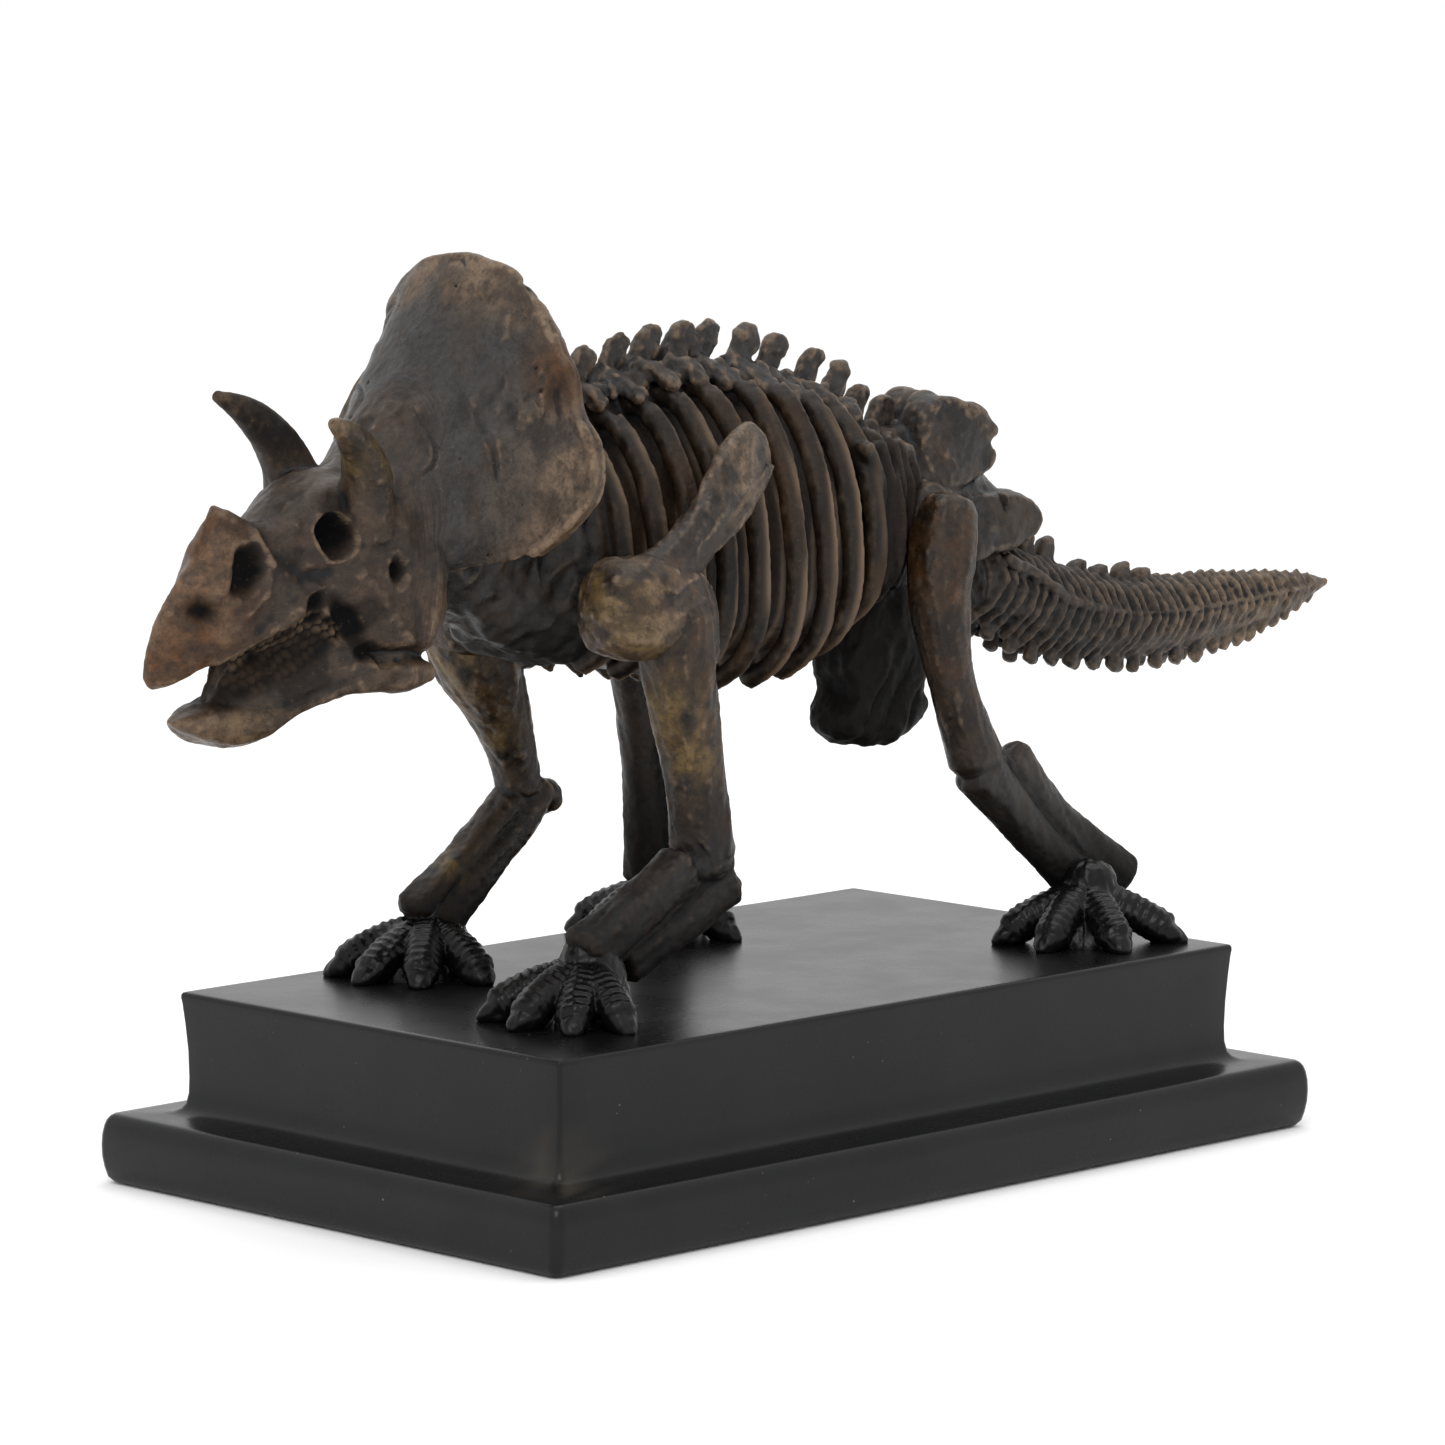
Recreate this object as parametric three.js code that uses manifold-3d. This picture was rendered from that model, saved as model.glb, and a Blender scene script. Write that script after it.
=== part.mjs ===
// Cast-resin desk statue of a horned-dinosaur skeleton on a black two-step plinth.
// Millimetres, +Z up. The head looks towards -X and the animal's left side faces -Y.
// The origin is the middle of the plinth's underside.
import * as THREE from 'three';
import { mergeVertices } from 'three/addons/utils/BufferGeometryUtils.js';
import Module from 'manifold-3d';

const wasm = await Module();
wasm.setup();

// Plinth
const STEP_LENGTH = 240;
const STEP_WIDTH = 146;
const STEP_TOP = 15.6;
const BLOCK_LENGTH = 214.6;
const BLOCK_WIDTH = 121.2;
const BLOCK_TOP = 42.9;
const COVE = 4.5;

// Whole animal
const MID = 8;
const GAP = 0.3;
const FAR = 300;
const SHORTEST_EDGE = 0.12;
const THINNEST_FACE = 0.02;
const THIN_FACE_EDGES = 6;
const SEED = 11;
const RANDOM_STEP = 16807;
const RANDOM_SPAN = 2147483647;

// Head
const HEAD_ROLL = 6;
const HEAD_TURN = 4;
const HEAD_PIVOT_X = -95;
const HEAD_PIVOT_Z = 156;
const FRILL_RADIUS_U = 43;
const FRILL_RADIUS_Z = 41.5;
const FRILL_CENTRE_Z = 166.5;
const FRILL_RIM_X = -66;
const FRILL_LEAN = 4;
const FRILL_SWEEP = 118;
const FRILL_DIP = 0.115;
const FRILL_DIP_AT = 60;
const FRILL_ROUND = 0.45;
const FRILL_RIM_THICK = 3.2;
const FRILL_ROOT_THICK = 5;
const HORN_ROOT_RADIUS = 6.4;
const RIGHT_HORN_SET_BACK = 1.8;
const TOOTH_RADIUS = 1.5;
const TOOTH_PITCH = 2.6;

// Back and ribs
const BACK_TOP_Z = 190.2;
const BACK_TOP_X = -1;
const BACK_ARCH = 0.0052;
const VERTEBRA_PITCH = 9.9;
const FIRST_VERTEBRA_X = -54.1;
const LAST_VERTEBRA_X = 67;
const SPINE_RISE = 6;
const RIB_PITCH = 9.8;
const FIRST_RIB_X = -43;
const LAST_RIB_X = 52;
const RIB_WIDE = 2.5;
const RIB_DEEP = 3.3;
const CHEST_FACE_X = -48;

// Limbs
const SHOULDER_BALL = 11.5;
const FOOT_RADIUS = 23.5;
const TOE_RADIUS = 4.1;
const ANKLE_RISE = 14.5;

// Tail
const TAIL_ROOT_X = 90;
const TAIL_TIP_X = 223.5;
const TAIL_CUT_A = 137;
const TAIL_CUT_B = 181;
const TAIL_PITCH = 6.6;

let seed = SEED;

function random() {
  seed = (seed * RANDOM_STEP) % RANDOM_SPAN;
  return seed / RANDOM_SPAN;
}

// A smooth run through rows of numbers, t from 0 to 1.
function spline(rows, t) {
  const last = rows.length - 1;
  const s = Math.min(Math.max(t, 0), 1) * last;
  const i = Math.min(Math.floor(s), last - 1);
  const f = s - i;
  const a = rows[Math.max(i - 1, 0)];
  const b = rows[i];
  const c = rows[i + 1];
  const d = rows[Math.min(i + 2, last)];
  return b.map((v, k) => {
    const one = c[k] - a[k];
    const two = 2 * a[k] - 5 * v + 4 * c[k] - d[k];
    const three = 3 * v - a[k] - 3 * c[k] + d[k];
    return v + 0.5 * (one * f + two * f * f + three * f * f * f);
  });
}

// Rows keyed by their first number, read at that number.
function along(rows, key) {
  const last = rows.length - 1;
  let i = 0;
  while (i < last - 1 && key > rows[i + 1][0]) {
    i += 1;
  }
  const f = (key - rows[i][0]) / (rows[i + 1][0] - rows[i][0]);
  return spline(rows, (i + Math.min(Math.max(f, 0), 1)) / last);
}

// A closed skin over rings of points, each end closed by a fan.
function skin(rings) {
  const count = rings[0].length;
  const points = [];
  const index = [];
  for (const ring of rings) {
    for (const p of ring) {
      points.push(p.x, p.y, p.z);
    }
  }
  for (let r = 0; r < rings.length - 1; r += 1) {
    for (let k = 0; k < count; k += 1) {
      const a = r * count + k;
      const b = r * count + ((k + 1) % count);
      index.push(a, b, b + count, a, b + count, a + count);
    }
  }
  for (const end of [0, rings.length - 1]) {
    const middle = new THREE.Vector3();
    for (const p of rings[end]) {
      middle.addScaledVector(p, 1 / count);
    }
    const hub = points.length / 3;
    points.push(middle.x, middle.y, middle.z);
    for (let k = 0; k < count; k += 1) {
      const a = end * count + k;
      const b = end * count + ((k + 1) % count);
      index.push(...(end === 0 ? [hub, b, a] : [hub, a, b]));
    }
  }
  const geometry = new THREE.BufferGeometry();
  geometry.setAttribute('position', new THREE.Float32BufferAttribute(points, 3));
  geometry.setIndex(index);
  return geometry;
}

function solid(geometry, matrix) {
  const plain = geometry.index ? geometry.clone() : geometry;
  plain.deleteAttribute('normal');
  plain.deleteAttribute('uv');
  const merged = mergeVertices(plain, 1e-4);
  if (matrix) {
    merged.applyMatrix4(matrix);
  }
  const vertProperties = new Float32Array(merged.attributes.position.array);
  const triVerts = new Uint32Array(merged.index.array);
  const corner = (k) => new THREE.Vector3().fromArray(vertProperties, 3 * triVerts[k]);
  let volume = 0;
  for (let t = 0; t < triVerts.length; t += 3) {
    volume += corner(t).dot(corner(t + 1).cross(corner(t + 2)));
  }
  if (volume < 0) {
    for (let t = 0; t < triVerts.length; t += 3) {
      const keep = triVerts[t + 1];
      triVerts[t + 1] = triVerts[t + 2];
      triVerts[t + 2] = keep;
    }
  }
  return new wasm.Manifold(new wasm.Mesh({ numProp: 3, vertProperties, triVerts }));
}

function fuse(parts) {
  return parts.reduce((sum, part) => sum.add(part));
}

function largest(body) {
  const pieces = body.decompose();
  return pieces.reduce((best, piece) => (piece.volume() > best.volume() ? piece : best));
}

// The height of a face above its longest side.
function thickness(a, b, c) {
  const area = new THREE.Triangle(a, b, c).getArea();
  return (2 * area) / Math.max(a.distanceTo(b), b.distanceTo(c), c.distanceTo(a));
}

// The two ends of an edge too short to keep, or of the shortest side of a face too thin to keep.
function spareEdge(corners, faces, kept) {
  for (const face of faces) {
    const thin = thickness(...face.map((v) => corners[v])) < THINNEST_FACE;
    const sides = face.map((v, k) => [v, face[(k + 1) % 3]]);
    const length = ([a, b]) => corners[a].distanceTo(corners[b]);
    sides.sort((first, second) => length(first) - length(second));
    const [a, b] = sides[0];
    const short = length(sides[0]) < (thin ? THIN_FACE_EDGES : 1) * SHORTEST_EDGE;
    if (short && !kept.has(`${a} ${b}`)) {
      return sides[0];
    }
  }
  return null;
}

// Draws together the ends of spare edges wherever the skin stays closed.
function cleaned(body) {
  const mesh = body.getMesh();
  const corners = [];
  for (let v = 0; v < mesh.vertProperties.length; v += mesh.numProp) {
    corners.push(new THREE.Vector3().fromArray(mesh.vertProperties, v));
  }
  let faces = [];
  for (let t = 0; t < mesh.triVerts.length; t += 3) {
    faces.push([...mesh.triVerts.slice(t, t + 3)]);
  }
  const kept = new Set();
  for (let edge = spareEdge(corners, faces, kept); edge; edge = spareEdge(corners, faces, kept)) {
    const [a, b] = edge;
    const around = (v) => new Set(faces.filter((face) => face.includes(v)).flat());
    const beside = around(b);
    const shared = [...around(a)].filter((v) => beside.has(v));
    if (shared.length === 4) {
      corners[a].lerp(corners[b], 0.5);
      faces = faces.map((face) => face.map((v) => (v === b ? a : v)));
      faces = faces.filter((face) => new Set(face).size === 3);
    } else {
      kept.add(`${a} ${b}`);
    }
  }
  const geometry = new THREE.BufferGeometry().setFromPoints(corners);
  geometry.setIndex(faces.flat());
  return geometry;
}

// The same body with its surface pushed out, used to keep a gap round a neighbour.
function grown(body, distance) {
  const mesh = body.getMesh();
  const geometry = new THREE.BufferGeometry();
  const points = [];
  for (let v = 0; v < mesh.vertProperties.length; v += mesh.numProp) {
    points.push(...mesh.vertProperties.slice(v, v + 3));
  }
  geometry.setAttribute('position', new THREE.Float32BufferAttribute(points, 3));
  geometry.setIndex([...mesh.triVerts]);
  geometry.computeVertexNormals();
  const normal = geometry.attributes.normal;
  const place = geometry.attributes.position;
  for (let v = 0; v < place.count; v += 1) {
    place.setX(v, place.getX(v) + distance * normal.getX(v));
    place.setY(v, place.getY(v) + distance * normal.getY(v));
    place.setZ(v, place.getZ(v) + distance * normal.getZ(v));
  }
  return solid(geometry);
}

// All the room on one side of the animal's midline.
function sideRoom(side, nearX) {
  const low = side < 0 ? -FAR : MID + GAP / 2;
  const high = side < 0 ? MID - GAP / 2 : FAR;
  return block([nearX, low, 0], [FAR, high, FAR]);
}

// All the room between two places along the animal.
function lengthRoom(nearX, farX) {
  return block([nearX, -FAR, 0], [farX, FAR, FAR]);
}

// A box between two corners.
function block(low, high) {
  const size = high.map((v, k) => v - low[k]);
  const geometry = new THREE.BoxGeometry(...size);
  geometry.translate(...low.map((v, k) => v + size[k] / 2));
  return solid(geometry);
}

// Rows of x, offset from the midline, z, half-width and half-depth make a bone.
// Its ends are rounded or cut off. The half-depth lies nearest to the direction called face.
function bone(
  rows,
  { steps = 8, sides = 8, face = [1, 0, 0], waist = 0, blunt = false, matrix = null } = {},
) {
  const toward = new THREE.Vector3(...face);
  const rings = [];
  const ring = (row, tangent, scale, shift) => {
    const side = new THREE.Vector3().crossVectors(tangent, toward).normalize();
    const up = new THREE.Vector3().crossVectors(side, tangent).normalize();
    const centre = new THREE.Vector3(row[0], MID + row[1], row[2]).addScaledVector(tangent, shift);
    const points = [];
    for (let k = 0; k < sides; k += 1) {
      const angle = (2 * Math.PI * (k + 0.5)) / sides;
      const p = centre.clone();
      p.addScaledVector(side, scale * row[3] * Math.cos(angle));
      p.addScaledVector(up, scale * row[4] * Math.sin(angle));
      points.push(p);
    }
    rings.push(points);
  };
  for (let i = 0; i <= steps; i += 1) {
    const t = i / steps;
    const row = spline(rows, t);
    const ahead = spline(rows, Math.min(t + 0.02, 1));
    const behind = spline(rows, Math.max(t - 0.02, 0));
    const tangent = new THREE.Vector3(
      ahead[0] - behind[0],
      ahead[1] - behind[1],
      ahead[2] - behind[2],
    ).normalize();
    const reach = Math.min(row[3], row[4]);
    const pinch = 1 - waist * Math.sin(Math.PI * t);
    if (i === 0 && !blunt) {
      ring(row, tangent, 0.6, -0.5 * reach);
    }
    ring(row, tangent, pinch, 0);
    if (i === steps && !blunt) {
      ring(row, tangent, 0.6, 0.5 * reach);
    }
  }
  return solid(skin(rings), matrix);
}

// The cross-section of a body at one place along X: top, foot, half-width, how far the top narrows
// and how square it is.
function section(row, angle) {
  const [, top, foot, wide, ridge, square = 0.2] = row;
  const c = Math.cos(angle);
  const s = Math.sin(angle);
  const power = 1 - square;
  const z = (top + foot) / 2 + ((top - foot) / 2) * Math.sign(c) * Math.abs(c) ** power;
  const narrow = 1 - ridge * Math.max(0, 0.35 + 0.65 * c);
  const u = wide * narrow * Math.sign(s) * Math.abs(s) ** power;
  return [u, z];
}

// Rows of x, top, foot, half-width and ridge make a body that runs along X.
function bulk(rows, { steps = 14, sides = 16, matrix = null } = {}) {
  const rings = [];
  for (let i = 0; i <= steps; i += 1) {
    const row = spline(rows, i / steps);
    const points = [];
    for (let k = 0; k < sides; k += 1) {
      const [u, z] = section(row, (2 * Math.PI * k) / sides);
      points.push(new THREE.Vector3(row[0], MID + u, z));
    }
    rings.push(points);
  }
  return solid(skin(rings), matrix);
}

function ball(x, u, z, rx, ru, rz, matrix = null, detail = 8) {
  const geometry = new THREE.SphereGeometry(1, detail, Math.max(4, Math.round(detail * 0.7)));
  geometry.scale(rx, ru, rz);
  geometry.translate(x, MID + u, z);
  return solid(geometry, matrix);
}

// Plinth: rounded rectangles stacked from the underside to the top of the block.
function plinth() {
  const rows = [
    [0, STEP_LENGTH / 2 - 0.4, STEP_WIDTH / 2 - 0.8, 2],
    [1.4, STEP_LENGTH / 2 + 0.6, STEP_WIDTH / 2 + 0.3, 2.4],
    [6, STEP_LENGTH / 2 + 1.4, STEP_WIDTH / 2 + 1.4, 2.6],
    [11, STEP_LENGTH / 2 + 1.4, STEP_WIDTH / 2 + 1.4, 2.6],
    [14, STEP_LENGTH / 2 + 0.7, STEP_WIDTH / 2 + 0.7, 2.4],
    [STEP_TOP, STEP_LENGTH / 2 - 0.8, STEP_WIDTH / 2 - 0.8, 2],
    [STEP_TOP + 0.2, BLOCK_LENGTH / 2 + COVE - 1.2, BLOCK_WIDTH / 2 + COVE - 1.2, 3.2],
    [STEP_TOP + 1.5, BLOCK_LENGTH / 2 + 0.8, BLOCK_WIDTH / 2 + 0.8, 2.2],
    [STEP_TOP + COVE, BLOCK_LENGTH / 2 - 0.3, BLOCK_WIDTH / 2 - 0.3, 1.2],
    [STEP_TOP + 14, BLOCK_LENGTH / 2 - 0.2, BLOCK_WIDTH / 2 - 0.2, 1],
    [BLOCK_TOP - 1.2, BLOCK_LENGTH / 2 + 0.8, BLOCK_WIDTH / 2 + 0.8, 1],
    [BLOCK_TOP, BLOCK_LENGTH / 2 + 0.2, BLOCK_WIDTH / 2 + 0.2, 0.8],
  ];
  const rings = rows.map(([z, a, b, r]) => {
    const points = [];
    for (let q = 0; q < 4; q += 1) {
      for (let k = 0; k <= 2; k += 1) {
        const angle = ((q + k / 2) * Math.PI) / 2;
        const sx = q === 0 || q === 3 ? 1 : -1;
        const sy = q < 2 ? 1 : -1;
        const x = sx * (a - r) + r * Math.cos(angle);
        const y = sy * (b - r) + r * Math.sin(angle);
        points.push(new THREE.Vector3(x, y, z));
      }
    }
    return points;
  });
  return solid(skin(rings));
}

// The whole head leans over a little, its right side higher, and turns to its left.
const HEAD = new THREE.Matrix4()
  .makeTranslation(HEAD_PIVOT_X, MID, HEAD_PIVOT_Z)
  .multiply(new THREE.Matrix4().makeRotationZ(THREE.MathUtils.degToRad(HEAD_TURN)))
  .multiply(new THREE.Matrix4().makeRotationX(THREE.MathUtils.degToRad(HEAD_ROLL)))
  .multiply(new THREE.Matrix4().makeTranslation(-HEAD_PIVOT_X, -MID, -HEAD_PIVOT_Z));

// x, top, foot, half-width, ridge from the beak's tip to the back of the skull.
const SKULL_ROWS = [
  [-162.4, 127, 121.5, 1.2, 0.2, 0.1],
  [-160.2, 132.5, 119.4, 3, 0.4, 0.15],
  [-155.6, 139.6, 120.4, 5, 0.5, 0.2],
  [-150, 146.2, 123, 7, 0.55, 0.25],
  [-147, 153.5, 124.2, 8, 0.6, 0.3],
  [-143.6, 156.8, 124.6, 9, 0.62, 0.3],
  [-138.4, 154.8, 125, 9.8, 0.5, 0.3],
  [-133, 154, 124.6, 10.8, 0.3, 0.35],
  [-127, 158, 124, 13, 0.3, 0.4],
  [-119, 161.5, 123, 16, 0.25, 0.45],
  [-110, 162.5, 121.5, 18.6, 0.2, 0.5],
  [-102, 160.5, 121.5, 21.2, 0.2, 0.5],
  [-94, 157, 123.4, 21.2, 0.2, 0.4],
  [-88, 152, 136, 14, 0.2, 0.2],
];

const JAW_ROWS = [
  [-154.6, 112.8, 111.4, 1, 0, 0.2],
  [-151.4, 113.6, 109.4, 3.6, 0, 0.2],
  [-146, 115, 107, 6, 0, 0.2],
  [-140, 116.2, 105.3, 7.8, 0, 0.2],
  [-133, 117, 106.6, 9.6, 0, 0.2],
  [-126, 118.4, 111.4, 12, 0, 0.2],
  [-118.6, 121, 115, 14.8, 0, 0.3],
  [-110, 124.4, 116.4, 18, 0, 0.4],
  [-102, 125.4, 116.2, 20.8, 0, 0.4],
  [-95.4, 124.4, 117.6, 20.8, 0, 0.3],
];

function skull() {
  const teeth = [];
  for (const side of [-1, 1]) {
    for (let row = 0; row < 2; row += 1) {
      for (let k = 0; k < 7 - row; k += 1) {
        const x = -136.4 + row * 0.8 + k * TOOTH_PITCH;
        const u = side * (8 + 0.34 * (x + 136.4));
        const z = 119.4 + row * 2.9 + 0.14 * (x + 136.4);
        const geometry = new THREE.OctahedronGeometry(TOOTH_RADIUS, 0);
        geometry.scale(1, 1, 1.15);
        geometry.translate(x, MID + u, z);
        teeth.push(solid(geometry, HEAD));
      }
    }
  }
  const gums = bulk(
    [
      [-137.8, 128, 114, 7.6, 0],
      [-134, 130, 114, 9, 0],
      [-128, 131, 115, 11.4, 0],
      [-120, 131, 118, 14, 0],
      [-110, 131, 121, 17, 0],
    ],
    { steps: 4, sides: 8, matrix: HEAD },
  );
  const holes = [];
  for (const side of [-1, 1]) {
    holes.push(ball(-121.4, side * 15, 150.4, 4.4, 4.6, 4.6, HEAD, 7));
    holes.push(ball(-139.5, side * 9.8, 143.4, 4.4, 3.4, 6, HEAD, 7));
    holes.push(ball(-151, side * 6.6, 135, 2.8, 2, 2, HEAD, 6));
    holes.push(ball(-107, side * 20.4, 141.2, 2.4, 3, 2.4, HEAD, 6));
    holes.push(ball(-123, side * 16.5, 132.4, 6.4, 3.2, 5, HEAD, 6));
  }
  const body = fuse([bulk(SKULL_ROWS, { steps: 20, sides: 14, matrix: HEAD }), gums, ...teeth]);
  return body.subtract(fuse(holes));
}

// Frill: a flared shield between a root ring round the back of the skull and a wide round rim.
function frillPoint(s, t) {
  const angle = THREE.MathUtils.degToRad(FRILL_SWEEP * t);
  const low = (1 - Math.cos(angle)) / 1.47;
  const root = new THREE.Vector3(
    -108 + 15 * low,
    18.5 * Math.sin(angle),
    148.5 + 14.5 * Math.cos(angle),
  );
  const dip = Math.exp(-(((FRILL_SWEEP * Math.abs(t) - FRILL_DIP_AT) / 18) ** 2));
  const wave = 1 + 0.01 * Math.cos(9 * angle) - FRILL_DIP * dip;
  const rim = new THREE.Vector3(
    FRILL_RIM_X - FRILL_LEAN * (1 - low) - 2 * low * low,
    FRILL_RADIUS_U * wave * Math.sin(angle),
    FRILL_CENTRE_Z + FRILL_RADIUS_Z * wave * Math.cos(angle),
  );
  const reach = s * (1 - FRILL_ROUND * (Math.max(0, Math.abs(t) - 0.78) / 0.22) ** 2);
  const flare = reach ** 1.25;
  const run = reach ** 0.95;
  return new THREE.Vector3(
    root.x + (rim.x - root.x) * run,
    MID + root.y + (rim.y - root.y) * flare,
    root.z + (rim.z - root.z) * flare,
  );
}

function frill() {
  const rings = [];
  const down = 6;
  const across = 22;
  for (let j = 0; j <= across; j += 1) {
    const t = -1 + (2 * j) / across;
    const front = [];
    const back = [];
    for (let i = 0; i <= down; i += 1) {
      const s = i / down;
      const p = frillPoint(s, t);
      const ds = frillPoint(s + 0.01, t).sub(frillPoint(s - 0.01 + (s < 0.01 ? 0.01 : 0), t));
      const dt = frillPoint(s, t + 0.01).sub(frillPoint(s, t - 0.01));
      const normal = ds.cross(dt).normalize();
      if (normal.x < 0) {
        normal.negate();
      }
      const edge = Math.min(1, (1 - Math.abs(t)) * 6);
      const thick = FRILL_ROOT_THICK + (FRILL_RIM_THICK - FRILL_ROOT_THICK) * s;
      front.push(p);
      back.push(p.clone().addScaledVector(normal, thick * (0.45 + 0.55 * edge)));
    }
    const lip = front[down].clone().lerp(back[down], 0.5);
    lip.add(front[down].clone().sub(front[down - 1]).setLength(1));
    rings.push([...front, lip, ...back.reverse()]);
  }
  return solid(skin(rings), HEAD);
}

function horn(side) {
  const back = side > 0 ? RIGHT_HORN_SET_BACK : 0;
  const rows = [
    [back - 111, side * 11, 155, HORN_ROOT_RADIUS, HORN_ROOT_RADIUS],
    [back - 113.4, side * 13.2, 163.4, 5.6, 5.6],
    [back - 118, side * 15.2, 169.8, 4.4, 4.4],
    [back - 123.4, side * 16.8, 174, 3.1, 3.1],
    [back - 130, side * 18.4, 177.2, 1.3, 1.2],
  ];
  return bone(rows, { steps: 7, sides: 8, face: [1, 0, 0.3], matrix: HEAD });
}

function backZ(x) {
  return BACK_TOP_Z - BACK_ARCH * (x - BACK_TOP_X) ** 2;
}

// x, top, foot, half-width, ridge of the solid inside the ribs.
const CHEST_ROWS = [
  [-60, 158, 123, 14, 0.3],
  [-46, 166, 116, 20, 0.35],
  [-30, 172, 112, 23.5, 0.4],
  [-10, 175.5, 108.5, 25.4, 0.4],
  [8, 176.5, 107.5, 25.8, 0.4],
  [22, 174.5, 110, 24.8, 0.4],
  [34, 170, 117, 22.2, 0.4],
  [46, 163, 124, 18.4, 0.35],
  [58, 156, 132, 13.4, 0.3],
];

function chestHalf(side) {
  const core = bulk(CHEST_ROWS, { steps: 9, sides: 14 });
  const half = core.intersect(sideRoom(side, -FAR));
  const ribs = [];
  for (let x = FIRST_RIB_X; x <= LAST_RIB_X; x += RIB_PITCH) {
    const row = along(CHEST_ROWS, x);
    const rows = [];
    for (let k = 0; k <= 6; k += 1) {
      const angle = side * (0.3 + (2.45 * k) / 6);
      const [u, z] = section(row, angle);
      const lift = 1.3 * Math.sin((Math.PI * (k + 0.6)) / 7.2);
      const out = new THREE.Vector2(Math.sin(angle), Math.cos(angle));
      const thin = k === 0 || k === 6 ? 0.8 : 1;
      rows.push([x, u + lift * out.x, z + lift * out.y, RIB_DEEP * thin, RIB_WIDE * thin]);
    }
    ribs.push(bone(rows, { steps: 5, sides: 4, blunt: true }));
  }
  return fuse([half, ...ribs]).intersect(sideRoom(side, CHEST_FACE_X + GAP / 2));
}

function backbone() {
  const rows = [];
  const parts = [];
  for (let x = FIRST_VERTEBRA_X - VERTEBRA_PITCH / 4; x <= LAST_VERTEBRA_X; x += VERTEBRA_PITCH / 2) {
    const top = backZ(x) - SPINE_RISE;
    rows.push([x, top, top - 13, rows.length % 2 === 0 ? 5.4 : 8.8, 0.5, 0.1]);
  }
  parts.push(bulk(rows, { steps: rows.length - 1, sides: 6 }));
  for (let x = FIRST_VERTEBRA_X; x <= LAST_VERTEBRA_X; x += VERTEBRA_PITCH) {
    const tip = backZ(x) + 0.8 * (random() - 0.5);
    const lean = 2 + 0.8 * random();
    parts.push(
      bone(
        [
          [x - lean, 0, tip - 10, 2.8, 4.2],
          [x - lean * 0.5, 0, tip - 5, 2.6, 3.9],
          [x, 0, tip - 1.2, 2.2, 3],
        ],
        { steps: 1, sides: 6 },
      ),
    );
  }
  return fuse(parts);
}

function neck() {
  const rows = [
    [-95, 154, 138, 10, 0.1],
    [-84, 160, 131, 14.5, 0.15],
    [-72, 166, 124, 18, 0.2],
    [-60, 170, 118, 20.5, 0.25],
    [-46, 172, 114.5, 22, 0.3],
  ];
  const body = bulk(rows, { steps: 5, sides: 12 });
  return body.intersect(lengthRoom(-FAR, CHEST_FACE_X - GAP / 2));
}

// Shoulder blade with the big rounded joint mass at its lower end.
function scapula(side, joint, tip) {
  const run = (f, u, lift) => [
    joint[0] + (tip[0] - joint[0]) * f,
    side * u,
    joint[2] + (tip[2] - joint[2]) * f + lift,
  ];
  const blade = bone(
    [
      [...run(1, 24.5, -1), 7, 3],
      [...run(0.82, 27, 0.5), 8, 3.6],
      [...run(0.55, 29.5, -1), 6.4, 3.8],
      [...run(0.28, 31, -1), 6.4, 4.6],
      [...run(0, 32, 0), 8, 7],
    ],
    { steps: 7, sides: 8, face: [0, 1, 0] },
  );
  const [long, wide] = [SHOULDER_BALL * 1.05, SHOULDER_BALL * 0.95];
  const knob = ball(...joint, long, wide, SHOULDER_BALL, null, 10);
  return fuse([blade, knob]);
}

// Foot: an ankle mound with four blunt toes, each toe ringed by folds.
function foot(x, u, spread) {
  const parts = [];
  const mound = [
    [x + 2, u, BLOCK_TOP - 2, 11.5, 11.5],
    [x + 2, u, BLOCK_TOP + 5, 10.5, 10.5],
    [x + 1.5, u, BLOCK_TOP + 10.5, 8.6, 8.6],
    [x + 1.5, u, BLOCK_TOP + ANKLE_RISE, 5.6, 5.6],
  ];
  parts.push(bone(mound, { steps: 3, sides: 8 }));
  for (const degrees of spread) {
    const angle = THREE.MathUtils.degToRad(degrees);
    const toe = (reach, rise, radius) => [
      x + FOOT_RADIUS * reach * Math.cos(angle),
      u + FOOT_RADIUS * reach * Math.sin(angle),
      BLOCK_TOP + rise,
      TOE_RADIUS * radius,
      TOE_RADIUS * radius,
    ];
    const rows = [];
    for (let k = 0; k <= 4; k += 1) {
      const f = k / 4;
      const fold = 1 + (k % 2 === 0 ? 0.08 : -0.08);
      const reach = 0.24 + 0.7 * f;
      rows.push(toe(reach, 7.4 - 2 * f - 3.4 * f * f * f, fold * (1.1 - 0.25 * f - 0.4 * f * f * f)));
    }
    parts.push(bone(rows, { steps: 4, sides: 5, face: [0, 0, 1] }));
  }
  return fuse(parts).subtract(block([-FAR, -FAR, -FAR], [FAR, FAR, BLOCK_TOP + GAP]));
}

// Two bones side by side, with a web of resin between them.
function pair(first, second) {
  const web = first.map((row, i) => row.map((v, k) => (v + second[i][k]) / (k < 3 ? 2 : 2.6)));
  return fuse([
    bone(first, { steps: 3, sides: 8, waist: 0.08 }),
    bone(second, { steps: 3, sides: 8, waist: 0.08 }),
    bone(web, { steps: 1, sides: 4, blunt: true }),
  ]);
}

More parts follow.
